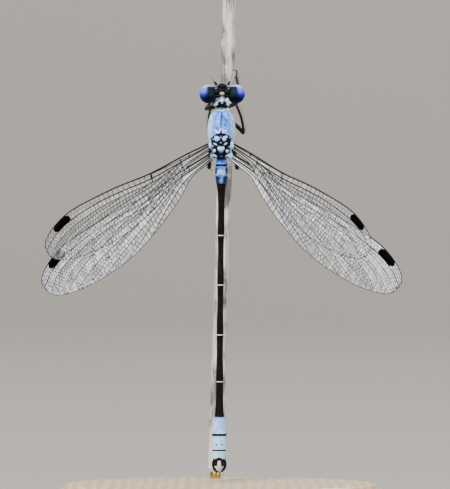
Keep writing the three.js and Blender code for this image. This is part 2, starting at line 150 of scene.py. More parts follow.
def tube(soup, path, radii, sides=6, flat=1.0, facing=SIDEWAYS):
    """A closed tube along path; flat squeezes it across the facing direction."""
    path = np.asarray(path, float)
    radii = np.broadcast_to(np.asarray(radii, float), (len(path),))[:, None, None]
    way = np.gradient(path, axis=0)
    way /= np.linalg.norm(way, axis=1)[:, None] + TINY
    side = np.array(facing, float)
    normals = []
    for w in way:
        side = side - w * np.dot(side, w)
        if np.linalg.norm(side) < TOO_SHORT:
            side = np.cross(w, SPARE_SIDE)
        side = unit(side)
        normals.append(side)
    normals = np.array(normals)
    across = np.cross(way, normals)
    turn = turns(sides)
    rings = (
        path[:, None]
        + radii * flat * np.cos(turn)[None, :, None] * normals[:, None]
        + radii * np.sin(turn)[None, :, None] * across[:, None]
    )
    soup.add(rings, loft_faces(len(path), sides))


def curve(points, count):
    """Catmull-Rom path through the points, evenly stepped by parameter."""
    pts = np.asarray(points, float)
    ext = np.vstack([2 * pts[0] - pts[1], pts, 2 * pts[-1] - pts[-2]])
    out = []
    for t in np.linspace(0, len(pts) - 1, count):
        i = min(int(t), len(pts) - 2)
        u = t - i
        a, b, c, d = ext[i : i + 4]
        first, second, third = c - a, 2 * a - 5 * b + 4 * c - d, 3 * b - a - 3 * c + d
        out.append(0.5 * (2 * b + first * u + second * u**2 + third * u**3))
    return np.array(out)


def limb(soup, points, count, shares, radii, sides):
    """A tube on a curve through the points, with its radius given at shares of its length."""
    path = curve(points, count)
    tube(soup, path, np.interp(np.linspace(0, 1, count), shares, radii), sides)
    return path


def ellipsoid(soup, centre, half, across=24, down=14):
    centre, half = np.asarray(centre, float), np.asarray(half, float)
    points, faces = [centre + half * [0, 0, 1]], []
    for r in range(1, down):
        t = math.pi * r / down
        for s in range(across):
            a = 2 * math.pi * s / across
            points.append(centre + half * [math.sin(t) * math.cos(a), math.sin(t) * math.sin(a), math.cos(t)])
    points.append(centre - half * [0, 0, 1])
    lowest = 1 + (down - 2) * across
    for s in range(across):
        n = (s + 1) % across
        faces.append((0, 1 + s, 1 + n))
        faces.append((len(points) - 1, lowest + n, lowest + s))
        for r in range(down - 2):
            above, below = 1 + r * across, 1 + (r + 1) * across
            faces.append((above + s, below + s, below + n, above + n))
    soup.add(points, faces)


def turned(profile, sides, least):
    """Rings of a turned form; least stands for a radius of zero, so that no two points meet."""
    form = Soup()
    around = [(math.cos(t), math.sin(t)) for t in turns(sides)]
    points = [(max(r, least) * c, max(r, least) * s, z) for r, z in profile for c, s in around]
    form.add(points, loft_faces(len(profile), sides))
    return form


def mesh_object(name, points, faces, soft=True):
    mesh = bpy.data.meshes.new(name)
    mesh.from_pydata([tuple(p) for p in points], [], faces)
    mesh.validate()
    mesh.update()
    mesh.polygons.foreach_set("use_smooth", [soft] * len(mesh.polygons))
    made = bpy.data.objects.new(name, mesh)
    bpy.context.scene.collection.objects.link(made)
    return made


def make(name, soup, material, replaces, colours=None, soft=True):
    """A piece in metres that rides on the model's one body, in one colour or one for each point."""
    piece = mesh_object(name, soup.array() * MM, soup.faces, soft)
    mesh = piece.data
    mesh.materials.append(material)
    if colours is not None:
        rgba = np.ones((len(mesh.vertices), 4), np.float32)
        rgba[:, :3] = np.clip(colours, 0, 1)
        tint = mesh.attributes.new("tint", "FLOAT_COLOR", "POINT")
        tint.data.foreach_set("color", rgba.ravel())
    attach(piece, "root")
    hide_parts(*replaces)


# materials; the grain is that of the insect's surfaces, in millimetres
GRAIN_SIZE, GRAIN_DEPTH = 0.05, 0.01
ROUGH_SPREAD = 0.12


def rgb(hexa):
    """Linear colour of a display colour written as six hex digits."""
    parts = [int(hexa[i : i + 2], 16) / 255 for i in (0, 2, 4)]
    return np.array([c / 12.92 if c <= 0.04045 else ((c + 0.055) / 1.055) ** 2.4 for c in parts])


def linear(colour):
    """Linear numbers of a colour in hex digits; a colour in numbers stays as it is."""
    return rgb(colour) if isinstance(colour, str) else np.asarray(colour)


class Look:
    """A material in the making: its shader and the nodes that feed it."""

    def __init__(self, name, rough, **sockets):
        self.mat = bpy.data.materials.new(name)
        self.mat.use_nodes = True
        self.tree = self.mat.node_tree
        self.shader = self.tree.nodes["Principled BSDF"]
        for socket, value in {"Roughness": rough, **sockets}.items():
            self.shader.inputs[socket.replace("_", " ")].default_value = value

    def node(self, kind, **values):
        """A new node with the given settings and inputs."""
        made = self.tree.nodes.new(kind)
        for key, value in values.items():
            if hasattr(made, key):
                setattr(made, key, value)
            else:
                made.inputs[key.replace("_", " ")].default_value = value
        return made

    def feed(self, output, target, socket):
        self.tree.links.new(output, target.inputs[socket])

    def in_space(self, kind, stretch=(1, 1, 1), **values):
        """Outputs of a node over object coordinates, in which one unit is a metre, stretched."""
        coords = self.node("ShaderNodeTexCoord")
        mapping = self.node("ShaderNodeMapping", Scale=stretch)
        made = self.node(kind, **values)
        self.feed(coords.outputs["Object"], mapping, "Vector")
        self.feed(mapping.outputs["Vector"], made, "Vector")
        return made.outputs

    def noise(self, scale, detail, rough=0.5, stretch=(1, 1, 1)):
        """Smooth noise from 0 to 1, with blots about 1000 / scale millimetres wide."""
        values = {"Scale": scale, "Detail": detail, "Roughness": rough}
        return self.in_space("ShaderNodeTexNoise", stretch, **values)["Fac"]

    def tint(self):
        """The mesh's own colour at each point."""
        return self.node("ShaderNodeAttribute", attribute_name="tint").outputs["Color"]

    def ramp(self, share, *stops):
        """Colour read from the stops at a share from 0 to 1."""
        made = self.node("ShaderNodeValToRGB")
        elements = made.color_ramp.elements
        for i, (position, colour) in enumerate((stops[0], stops[-1])):
            elements[i].position = position
            elements[i].color = (*linear(colour), 1)
        for position, colour in stops[1:-1]:
            elements.new(position).color = (*linear(colour), 1)
        self.feed(share, made, "Fac")
        return made.outputs["Color"]

    def multiply(self, first, second):
        mix = self.node("ShaderNodeMix", data_type="RGBA", blend_type="MULTIPLY", Factor=1.0)
        self.feed(first, mix, "A")
        self.feed(second, mix, "B")
        return mix.outputs["Result"]

    def relief(self, height, strength, depth, **values):
        """Bumps after the height, depth millimetres deep."""
        made = self.node("ShaderNodeBump", Strength=strength, Distance=depth * MM, **values)
        self.feed(height, made, "Height")
        self.feed(made.outputs["Normal"], self.shader, "Normal")

    def coloured(self, colour):
        """The finished material, with its colour from a node's output."""
        self.feed(colour, self.shader, "Base Color")
        return self.mat


def tinted(name, rough, glint, blot, blot_size):
    """Colour from the mesh's own tint, mottled by noise, with a fine grain in its relief."""
    look = Look(name, rough, Specular_IOR_Level=glint)
    mottle = look.noise(1000 / blot_size, 4.0, 0.6)
    shade = look.ramp(mottle, (0.3, (1 - blot,) * 3), (0.7, (1.0,) * 3))
    spread = look.node("ShaderNodeMapRange", To_Min=rough - ROUGH_SPREAD, To_Max=rough + ROUGH_SPREAD)
    look.feed(mottle, spread, "Value")
    look.feed(spread.outputs["Result"], look.shader, "Roughness")
    look.relief(look.noise(1000 / GRAIN_SIZE, 3.0, 0.6), 0.6, GRAIN_DEPTH)
    return look.coloured(look.multiply(look.tint(), shade))


CUTICLE = tinted("cuticle", 0.55, 0.1, 0.3, 0.3)
DARK = tinted("dark_cuticle", 0.42, 0.16, 0.3, 0.15)

# colours
BLUE = rgb("5089f2")
PALE = rgb("8ec4ff")
CHALK = rgb("c6e6ff")
NAVY = rgb("0f2560")
BLACK = rgb("040507")
BROWN = rgb("080504")
RING = rgb("e0d6c4")


def painted(base, coats):
    """The base under its coats in turn, each a colour and the mask, from 0 to 1, of where it lies."""
    base = linear(base)
    for colour, mask in coats:
        mask = np.clip(np.asarray(mask, float), 0, 1)[:, None]
        base = base * (1 - mask) + linear(colour) * mask
    return base


# thorax and head
THORAX = np.array([
    [2.6, 0.3, 0.3, -0.9], [2.95, 0.78, 0.6, -1.25], [3.2, 1.12, 0.98, -1.6], [3.7, 1.38, 1.3, -1.95],
    [4.4, 1.5, 1.62, -2.15], [5.2, 1.56, 1.86, -2.2], [6.0, 1.46, 1.94, -2.05], [6.7, 1.28, 1.8, -1.8],
    [7.4, 1.04, 1.56, -1.5], [7.95, 0.8, 1.25, -1.15], [8.25, 0.56, 0.92, -0.85], [8.5, 0.42, 0.6, -0.5],
])
FOREWING_ROOT = (1.32, 1.62, 6.95)
HINDWING_ROOT = (1.14, 1.1, 8.08)
COLLAR = np.array([
    [1.45, 0.28, 0.4, -0.6], [1.75, 0.36, 0.5, -0.7], [1.95, 0.62, 0.66, -0.95], [2.2, 0.8, 0.8, -1.2],
    [2.45, 0.78, 0.7, -1.3], [2.7, 0.5, 0.5, -1.1], [2.95, 0.42, 0.4, -1.0],
])
# each form: lateral, dorsal, along and its three half sizes
TERGA = [
    (-0.46, 1.7, 6.08, 0.27, 0.3, 0.3), (0.38, 1.7, 6.06, 0.22, 0.3, 0.28),
    (-0.05, 1.78, 5.95, 0.13, 0.22, 0.22), (-0.8, 1.45, 6.2, 0.26, 0.24, 0.3),
    (0.78, 1.45, 6.2, 0.26, 0.24, 0.3), (0, 1.62, 6.5, 0.5, 0.24, 0.16),
    (-0.66, 1.5, 6.68, 0.22, 0.2, 0.12), (0.5, 1.55, 6.64, 0.2, 0.2, 0.12),
    (-0.04, 1.45, 7.24, 0.46, 0.36, 0.34), (-0.78, 1.2, 7.4, 0.18, 0.22, 0.22),
    (0.66, 1.2, 7.42, 0.18, 0.22, 0.2), (0, 1.2, 7.8, 0.38, 0.28, 0.2),
    (-0.68, 0.95, 7.95, 0.24, 0.2, 0.13), (0.66, 0.95, 7.93, 0.24, 0.2, 0.13),
    (0, 0.95, 8.12, 0.34, 0.26, 0.16),
]
# crown, bridge to the eyes, frons, clypeus, cheeks and the back of the head; off the middle they are pairs
HEAD_FORMS = [
    (0, -0.1, 0.66, 0.88, 0.92, 0.52), (0, -0.2, 0.86, 1.75, 0.72, 0.56), (0, -0.42, 0.3, 0.6, 0.5, 0.38),
    (0, 0.5, 0.3, 0.4, 0.34, 0.32), (0, 0.3, 0.16, 0.38, 0.3, 0.22), (0, -0.86, 0.1, 0.52, 0.26, 0.26),
    (0, -1.1, 0.08, 0.46, 0.16, 0.2), (0, -0.4, 1.2, 0.75, 0.8, 0.45),
    (0.62, -0.95, 0.5, 0.34, 0.36, 0.36), (0.6, 0.5, 0.9, 0.42, 0.36, 0.42),
    (0, 0.6, 0.8, 0.36, 0.3, 0.34), (0, 0.86, 0.62, 0.1, 0.07, 0.1), (0.22, 0.82, 0.88, 0.1, 0.08, 0.1),
    (0, -1.4, 0.08, 0.52, 0.28, 0.34), (0, -1.48, 1.1, 0.48, 0.3, 0.4), (0, -1.3, 0.75, 0.34, 0.24, 0.26),
    (0.4, -1.42, 0.48, 0.22, 0.26, 0.24), (0.4, -1.5, 1.0, 0.16, 0.22, 0.34),
]
# name, side, root, tilt, sweep, and whether it is a forewing
WINGS = [
    ("forewing_left", -1, FOREWING_ROOT, 39, 26.5, True),
    ("forewing_right", 1, FOREWING_ROOT, 49.5, 26, True),
    ("hindwing_left", -1, HINDWING_ROOT, 21, 36, False),
    ("hindwing_right", 1, HINDWING_ROOT, 21, 35.5, False),
]
SKIN_VOXEL, SKIN_ROUNDS = 0.042, 3


def wing_axes(side, root, tilt, sweep):
    t, s = math.radians(tilt), math.radians(sweep)
    out, up = np.array([side * math.cos(t), -math.sin(t), 0.0]), np.array([0.0, 0.0, 1.0])
    span_way = out * math.cos(s) - up * math.sin(s)
    lead_way = out * math.sin(s) + up * math.cos(s)
    return place(side * root[0], root[1], root[2]), span_way, lead_way, np.cross(span_way, lead_way)


def spline(stations, along):
    """Each column of the stations, smoothly read at the given distances."""
    x = stations[:, 0]
    out = []
    for column in stations.T[1:]:
        slope = np.gradient(column, x)
        i = np.clip(np.searchsorted(x, along) - 1, 0, len(x) - 2)
        h = x[i + 1] - x[i]
        t = np.clip((along - x[i]) / h, 0, 1)
        out.append(
            (2 * t**3 - 3 * t**2 + 1) * column[i] + (t**3 - 2 * t**2 + t) * h * slope[i]
            + (3 * t**2 - 2 * t**3) * column[i + 1] + (t**3 - t**2) * h * slope[i + 1]
        )
    return out


def ringed(soup, table, count, square=2.0, sides=48):
    """A skin over a table's cross-sections; square above 2 makes them squarer."""
    along = np.linspace(table[0, 0], table[-1, 0], count)
    half, back, belly = spline(table, along)
    turn = turns(sides)
    c, d = np.cos(turn), np.sin(turn)
    c = np.sign(c) * np.abs(c) ** (2 / square)
    d = np.sign(d) * np.abs(d) ** (2 / square)
    middle, tall = (back + belly) / 2, (back - belly) / 2
    points = place(half[:, None] * c, middle[:, None] + tall[:, None] * d, along[:, None])
    soup.add(points, loft_faces(count, sides))


def lumps(soup, forms, paired=False):
    """Ellipsoids on the body, each with its middle and half sizes; paired ones stand on both sides."""
    for lateral, dorsal, along, *half in forms:
        for side in (-1, 1) if paired and lateral else (1,):
            ellipsoid(soup, place(side * lateral, dorsal, along), half)


def remeshed(soup, voxel, rounds):
    """The outer surface of overlapping closed forms as one smooth skin; a millimetre counts as one unit."""
    work = mesh_object("work", soup.array(), soup.faces)
    remesh = work.modifiers.new("remesh", "REMESH")
    remesh.mode, remesh.voxel_size = "VOXEL", voxel
    ease = work.modifiers.new("ease", "SMOOTH")
    ease.factor, ease.iterations = 0.5, rounds
    graph = bpy.context.evaluated_depsgraph_get()
    done = work.evaluated_get(graph).to_mesh()
    points = np.zeros(len(done.vertices) * 3)
    done.vertices.foreach_get("co", points)
    faces = [tuple(p.vertices) for p in done.polygons]
    work.evaluated_get(graph).to_mesh_clear()
    mesh = work.data
    bpy.data.objects.remove(work)
    bpy.data.meshes.remove(mesh)
    return points.reshape(-1, 3), faces


def normals_of(points, faces):
    quads = np.array([f if len(f) == 4 else (*f, f[-1]) for f in faces])
    a, b, c, d = (points[quads[:, i]] for i in range(4))
    flat = np.cross(c - a, d - b)
    out = np.zeros_like(points)
    for i in range(4):
        np.add.at(out, quads[:, i], flat)
    return out / (np.linalg.norm(out, axis=1)[:, None] + TINY)


def thorax_forms(soup):
    """The synthorax, the plates between the wings, the crests before them and the wing sockets."""
    ringed(soup, THORAX, 60, 2.25)
    lumps(soup, TERGA)
    for side in (-1, 1):
        crest = [place(0, 1.86, 5.42), place(side * 0.45, 1.82, 5.56), place(side * 0.95, 1.6, 5.72)]
        tube(soup, curve(crest, 9), [0.1, 0.11, 0.12, 0.13, 0.13, 0.12, 0.11, 0.1, 0.07], 10)
    for _, side, root, tilt, sweep, _ in WINGS:
        origin, span_way, _, across = wing_axes(side, root, tilt, sweep)
        socket = [origin + span_way * reach for reach in (-1.0, -0.5, -0.1, 0.12)]
        tube(soup, socket, [0.42, 0.42, 0.34, 0.22], 16, 0.55, across)


def prothorax_forms(soup):
    """The collar with its lobes and the roots of the forelegs."""
    ringed(soup, COLLAR, 22)
    ellipsoid(soup, place(0, 0.62, 2.0), (0.46, 0.34, 0.2))
    for side in (-1, 1):
        ellipsoid(soup, place(side * 0.42, 0.48, 2.3), (0.34, 0.34, 0.22))
        tube(soup, [place(side * 0.3, -0.8, 2.32), place(side * 0.42, -1.35, 2.34)], [0.36, 0.3], 16)


fore = Soup()
thorax_forms(fore)
prothorax_forms(fore)
lumps(fore, HEAD_FORMS, paired=True)
points, faces = remeshed(fore, SKIN_VOXEL, SKIN_ROUNDS)

# keel of the back, furrows of the sides and the neck
lateral, dorsal, along = body_of(points)
aside = np.abs(lateral)
in_thorax = smooth(2.9, 3.05, along)
carina = bump(lateral, 0, 0.07) * band((3.0, 3.3), (5.2, 5.5), along) * (dorsal > 0.3)
sutures = np.zeros(len(points))
for start, end, reach in [(3.3, 6.5, 0.95), (4.6, 7.6, 0.1), (5.6, 8.2, -0.55)]:
    # an oblique furrow on the side, from the belly's front up to a wing's root
    share = np.clip((along - start) / (end - start), 0, 1)
    level = -1.3 + (reach + 1.5) * share
    sutures += bump(dorsal, level, 0.06) * (aside > 0.75) * (along > start - 0.3) * (along < end)
relief = (0.07 * carina - 0.05 * sutures - 0.05 * bump(along, 2.82, 0.09)) * (along > 1.2)
points = points + normals_of(points, faces) * relief[:, None]

# colours of the thorax
mottle = grain(points, 0.4)
fine = grain(points, 0.13, 3.0)
streaks = grain(points * [1.0, 1.0, 0.35], 0.12, 7.0)


def spot(x, a, half_x, half_a, slant=0.0, edge=0.3):
    """Mask of an oval mark on the back at (x, a), turned by slant, with a ragged edge."""
    dx, da = lateral - x, along - a
    c, n = math.cos(slant), math.sin(slant)
    far = np.hypot((dx * c + da * n) / half_x, (-dx * n + da * c) / half_a)
    return smooth(1 + edge, 1 - edge, far + 0.18 * fine) * (dorsal > 0.45)


# pale marks on the plates between the wings: lateral, along, half sizes, slant and colour
MARKS = [
    (-0.52, 5.28, 0.3, 0.1, 0.55, CHALK), (0.34, 5.26, 0.3, 0.1, -0.55, CHALK),
    (-0.19, 5.08, 0.1, 0.2, 0.35, CHALK), (0.12, 5.06, 0.09, 0.2, -0.35, CHALK),
    (-0.5, 6.07, 0.27, 0.28, 0, CHALK), (0.34, 6.05, 0.22, 0.27, 0, CHALK),
    (-0.64, 5.83, 0.16, 0.09, 0.4, PALE), (0.55, 5.83, 0.17, 0.09, 0.5, CHALK),
    (-0.07, 5.9, 0.07, 0.17, 0, BLUE), (0.95, 5.95, 0.08, 0.1, 0, BLUE), (-0.9, 6.1, 0.07, 0.14, 0, BLUE),
    (-0.67, 6.67, 0.23, 0.09, 0.5, CHALK), (0.47, 6.62, 0.21, 0.1, -0.6, CHALK),
    (-0.07, 6.5, 0.1, 0.06, 0, PALE), (-0.22, 7.12, 0.2, 0.22, 0, CHALK),
    (0.14, 7.12, 0.2, 0.22, 0, CHALK), (-0.04, 7.36, 0.24, 0.24, 0, PALE),
    (-0.8, 7.4, 0.17, 0.22, 0.3, CHALK), (0.64, 7.42, 0.17, 0.2, -0.3, CHALK),
    (-0.74, 7.93, 0.3, 0.12, 0.5, CHALK), (0.68, 7.92, 0.3, 0.12, -0.5, CHALK),
    (-1.0, 6.85, 0.22, 0.09, 0.4, PALE), (0.98, 6.9, 0.22, 0.09, -0.4, PALE),
    (0.0, 8.0, 0.16, 0.07, 0, BLUE),
]
FIELD_ALONG = [5.3, 5.46, 5.7, 5.98, 6.5, 7.0, 7.6, 8.1, 8.4]
FIELD_REACH = [0.0, 0.36, 0.82, 1.14, 1.12, 0.98, 1.0, 0.85, 0.5]
shoulder = bump(np.abs(lateral + 0.02), 0.86, 0.07) * smooth(3.3, 3.8, along) * smooth(-0.3, 0.3, fine)
flank = smooth(0.72, 1.42, aside + 0.35 * mottle + 0.2 * fine)
keel = bump(lateral, 0.02 - 0.07 * (along - 3), 0.12) * band((3.0, 3.15), (4.5, 4.7), along)
keel_end = bump(lateral, -0.05, 0.08) * band((4.5, 4.8), (5.4, 5.5), along)
reach = np.interp(along, FIELD_ALONG, FIELD_REACH)
field = smooth(0.05, -0.05, np.abs(lateral + 0.04) - reach + 0.07 * fine) * (1 - smooth(8.33, 8.42, along))
coats = [
    ("2a5abf", 0.9 * smooth(0.0, 0.45, mottle + 0.6 * streaks) * in_thorax),
    ("86bfff", 0.8 * smooth(0.05, 0.5, -mottle + 0.8 * streaks) * in_thorax),
    ("1f4bad", 0.5 * shoulder * (dorsal > 0.6)),
    (CHALK, 0.9 * flank * in_thorax),
    (CHALK, 0.75 * smooth(0.6, -0.3, dorsal + 0.3 * mottle) * in_thorax),
    ("2c4690", 0.55 * smooth(0.35, 1, sutures)),
    ("1c3a86", keel * (dorsal > 0)),
    (NAVY, keel_end * (dorsal > 0)),
    (NAVY * 0.12, field * (dorsal > 0.45)),
    *((tone, spot(x, a, half_x, half_a, slant)) for x, a, half_x, half_a, slant, tone in MARKS),
]

# prothorax: a pale lobe between black shoulders, two dark wedges and a dark saddle
pro = band((1.2, 1.3), (2.9, 2.97), along)
lobe = np.interp(along, [1.3, 1.5, 1.8, 2.14, 2.3, 2.9], [0.0, 0.4, 0.66, 0.9, 1.4, 1.6])
saddle = bump(along, 2.38 + 0.5 * lateral**2, 0.25) * smooth(0.95, 0.8, aside)
coats += [
    (CHALK, pro),
    (BLACK, pro * smooth(-0.05, 0.06, aside - lobe + 0.05 * fine)),
    (NAVY * 0.3, spot(-0.29, 2.08, 0.19, 0.27, 0.6) * pro),
    (NAVY * 0.3, spot(0.32, 2.06, 0.2, 0.31, -0.6) * pro),
    (BLACK, smooth(0.3, 0.55, saddle + 0.12 * fine) * pro * (dorsal > 0.1)),
    (NAVY * 0.4, spot(0.02, 2.74, 0.22, 0.09) * pro),
]

# head: black above with a cream spot, pale cheeks and lips, a dark mouth line
head = 1 - smooth(1.22, 1.3, along)
cheek = smooth(-0.78, -0.92, dorsal) * smooth(0.42, 0.56, aside)
by_the_eye = bump(aside, 0.8, 0.16) * bump(along, 0.42, 0.16) * (np.abs(dorsal) < 0.5)
cream = np.hypot((lateral + 0.02) / 0.27, (along - 1.03) / 0.16) + 0.15 * fine
coats += [
    (BLACK, head),
    ("7fa6d4", 0.9 * head * cheek),
    ("86b4dd", 0.9 * head * smooth(-1.24, -1.32, dorsal) * (along < 0.42)),
    ("a7b9bf", 0.8 * (dorsal < -1.2) * smooth(0.72, 0.8, along) * (along < 1.6)),
    (BLACK, head * (dorsal < -1.15) * bump(along, 0.5 - 0.1 * aside, 0.06)),
    ("a9c2e8", 0.7 * head * by_the_eye),
    ("fff0d8", head * smooth(1.2, 0.85, cream) * (dorsal > 0.4)),
]
fore_tint = painted(BLUE, coats) * (1 + 0.3 * fine)[:, None]
body = Soup()
body.add(points, faces)

# abdomen
ABDOMEN = np.array([
    [8.2, 0.5], [8.45, 0.6], [8.9, 0.66], [9.3, 0.68], [10.1, 0.68], [11.0, 0.56], [11.4, 0.48],
    [12.5, 0.4], [14.5, 0.36], [16.5, 0.38], [17.5, 0.33], [19.5, 0.31], [22.0, 0.37], [23.0, 0.34],
    [25.0, 0.32], [27.6, 0.38], [28.6, 0.35], [30.5, 0.345], [32.8, 0.41], [34, 0.4], [35.4, 0.43],
    [36.8, 0.53], [37.3, 0.62], [38.0, 0.76], [38.8, 0.84], [39.8, 0.85], [40.6, 0.82], [41.2, 0.78],
    [41.62, 0.72], [41.75, 0.6], [41.82, 0.3],
])
JOINTS = [9.0, 11.25, 16.75, 22.25, 27.8, 33.0, 36.95, 38.95, 40.65]


def abdomen_dorsal(along):
    return 0.05 - 0.55 * (along - 8.4) / (BODY_LENGTH - 8.4)


ABDOMEN_SIDES = 56
even = np.linspace(ABDOMEN[0, 0], ABDOMEN[-1, 0], 520)
span = np.unique(np.concatenate([even, *(np.linspace(j - 0.3, j + 0.3, 25) for j in JOINTS)]))
(radius,) = spline(ABDOMEN, span)
for j in JOINTS:
    # a groove between two small swellings
    swelling = 0.035 * bump(span, j - 0.14, 0.08) + 0.02 * bump(span, j + 0.13, 0.07)
    radius = radius * (1 - 0.11 * bump(span, j, 0.055) + swelling)
turn = turns(ABDOMEN_SIDES)
ridge = 1 + 0.03 * bump(np.cos(turn), 0, 0.12) * (np.sin(turn) > 0)
flank = 1 - 0.05 * bump(np.sin(turn), -0.45, 0.16)
section_x = np.cos(turn) * flank
section_d = 1.06 * np.sin(turn) * ridge * flank
height = abdomen_dorsal(span)[:, None] + radius[:, None] * section_d
tail = place(radius[:, None] * section_x, height, span[:, None]).reshape(-1, 3)
body.add(tail, loft_faces(len(span), ABDOMEN_SIDES))

# colours of the abdomen; u and v are the place on the cross-section, sideways and upwards, from -1 to 1
x, d, a = body_of(tail)
(own_radius,) = spline(ABDOMEN, a)
u = x / own_radius
v = (d - abdomen_dorsal(a)) / own_radius
blot = grain(tail, 0.5)
speck = grain(tail, 0.12, 5.0)
first = 1 - smooth(10.95, 11.1, a)
above = v > -0.35
stripe = smooth(0.62, 0.75, np.abs(u)) * band((9.2, 9.3), (9.85, 10.0), a) * above
wedge = smooth(10.25, 10.45, a + 0.25 * np.abs(u)) * first * above
coats = [
    ("33241b", 0.3 * smooth(0.1, 0.6, blot)),
    ("6d6557", 0.6 * smooth(-0.45, -0.75, v)),
    (BLUE, first),
    ("a6d2ff", first * 0.85 * smooth(-0.2, 0.3, blot + 0.5 * speck)),
    ("3561c4", first * 0.6 * smooth(0.1, 0.5, -blot + 0.5 * speck)),
    (CHALK, first * 0.6 * smooth(-0.1, -0.6, v)),
    (BLACK, (1 - smooth(8.33, 8.42, a)) * (v > -0.3)),
    (BLACK, smooth(0.3, 0.6, bump(a, 8.98, 0.13)) * above),
    (NAVY * 0.3, 0.95 * stripe),
    (NAVY * 0.3, 0.95 * wedge * smooth(0.16, 0.32, np.abs(u))),
    ("4f73bd", 0.7 * wedge * smooth(0.3, 0.1, np.abs(u))),
    ("7f93b5", 0.5 * bump(a, 10.72, 0.14) * bump(u, -0.35, 0.2) * above),
    (BLACK, band((10.95, 11.05), (11.5, 12.2), a)),
]
for j in JOINTS[2:6]:
    # a pale ring behind a dark one
    coats += [
        (BLACK, 0.9 * bump(a, j - 0.35, 0.3)),
        (RING, 0.95 * smooth(0.3, 0.7, bump(a, j + 0.02, 0.06)) * smooth(-1.0, -0.6, v + 0.2 * speck)),
    ]
last, ninth = smooth(36.85, 37.0, a), smooth(38.95, 39.05, a)
dots = [np.hypot(x - 0.3 * side, (a - 40.02) * 0.8) for side in (-1, 1)]
coats += [
    ("8fb0fb", last),
    ("b4dcff", last * 0.85 * smooth(-0.1, 0.4, blot + 0.5 * np.abs(u) + 0.4 * speck)),
    ("3f58a8", last * 0.5 * smooth(0.25, 0.5, speck)),
    ("a6dbff", ninth),
    ("d4f0ff", 0.7 * ninth * smooth(0.0, 0.5, blot - 0.5 * speck)),
    ("8aa2cf", 0.5 * ninth * smooth(0.25, 0.6, speck)),
    *((BLACK, smooth(0.13, 0.05, far) * (v > 0)) for far in dots),
    (BLACK, last * smooth(0.3, 0.6, bump(a, 38.93, 0.15))),
    (BLACK, last * smooth(0.3, 0.6, bump(a, 40.66, 0.085))),
    (BLACK, bump(a, 36.85, 0.2)),
    (BLACK, smooth(-0.04, 0.04, a - 41.62 + 0.22 * bump(u, 0, 0.35))),
    ("5d6370", 0.6 * last * smooth(-0.55, -0.8, v)),
]
tail_tint = painted(BROWN, coats) * (1 + 0.1 * speck)[:, None]
SEGMENTS = [f"abdomen_segment_{k:02d}" for k in range(1, 11)]
FLESH = ["head", "labrum", "labium", "prothorax", "synthorax", *SEGMENTS]
make("body_skin", body, CUTICLE, FLESH, np.vstack([fore_tint, tail_tint]))


# eyes
FACET = 0.045
EYE_HALF = [1.02, 1.18, 1.05]


def compound_eye():
    """Colour from the mesh's tint, with the facets as shallow cells."""
    look = Look("compound_eye", 0.5, Specular_IOR_Level=0.06)
    cells = look.in_space("ShaderNodeTexVoronoi", Scale=1000 / FACET)
    look.relief(cells["Distance"], 0.35, 0.004, invert=True)
    return look.coloured(look.tint())


def dome(label, side):
    """One eye: blue and violet on its outer side and dark inside, with painted highlights that pale its top
    and the part that meets the crown, and painted shade that darkens its bottom.
    """
    ball = Soup()
    ellipsoid(ball, (0, 0, 0), (1, 1, 1), 96, 64)
    sphere = ball.array()
    outer, below, up = side * sphere[:, 0], sphere[:, 1], sphere[:, 2]
    violet = smooth(0.08, 0.52, outer + 0.12 * up)
    tint = painted("0a1322", [
        ("0f2a2c", 0.6 * bump(up, -0.1, 0.3) * (below < 0)),
        # painted shade: the eye darkens towards its bottom
        ("03061a", smooth(0.0, -0.55, up)),
        ("1a23a4", violet * smooth(-0.55, -0.1, up)),
        ("6660e6", violet * smooth(-0.2, 0.35, up)),
        # painted highlight: the violet side turns nearly white towards its top
        ("bcbcf8", 0.7 * violet * smooth(0.5, 0.9, up)),
        # painted shade: the violet side turns navy towards its bottom
        ("04083c", violet * smooth(-0.3, -0.65, up)),
        # painted highlight: a pale crescent at the top, on the side that meets the crown
        ("a9c4ee", 0.6 * smooth(0.72, 0.86, up) * smooth(0.4, 0.1, outer)),
        ("6c8fa8", 0.8 * smooth(0.3, 0.8, below)),
    ])
    rim = 1 - 0.05 * smooth(0.55, 0.95, -outer)
    form = Soup()
    form.add(place(side * EYE_SPREAD, -0.15, EYE_ALONG) + sphere * EYE_HALF * rim[:, None], ball.faces)
    make(f"eye_{label}_dome", form, EYE, [f"eye_{label}"], tint)


EYE = compound_eye()
dome("left", -1)
dome("right", 1)


# feelers and claspers
def feeler(label, side, spread):
    """Two thick joints and a thin bent end."""
    horn = Soup()
    root = place(side * 0.64, -0.3, 0.02)
    way = unit(np.array([side * spread, -0.35, 1.0]))
    bend, tip = root + 0.75 * way + [0, -0.06, 0.05], root + 1.45 * way
    tube(horn, curve([root, root + 0.22 * way], 5), [0.15, 0.16, 0.16, 0.15, 0.12], 14)
    tube(horn, curve([root + 0.2 * way, root + 0.45 * way], 5), [0.09, 0.105, 0.11, 0.1, 0.07], 12)
    limb(horn, [root + 0.42 * way, bend, tip], 24, [0, 0.2, 1], [0.045, 0.032, 0.012], 8)
    make(f"feeler_{label}", horn, DARK, [f"antenna_{label}"], BLACK)


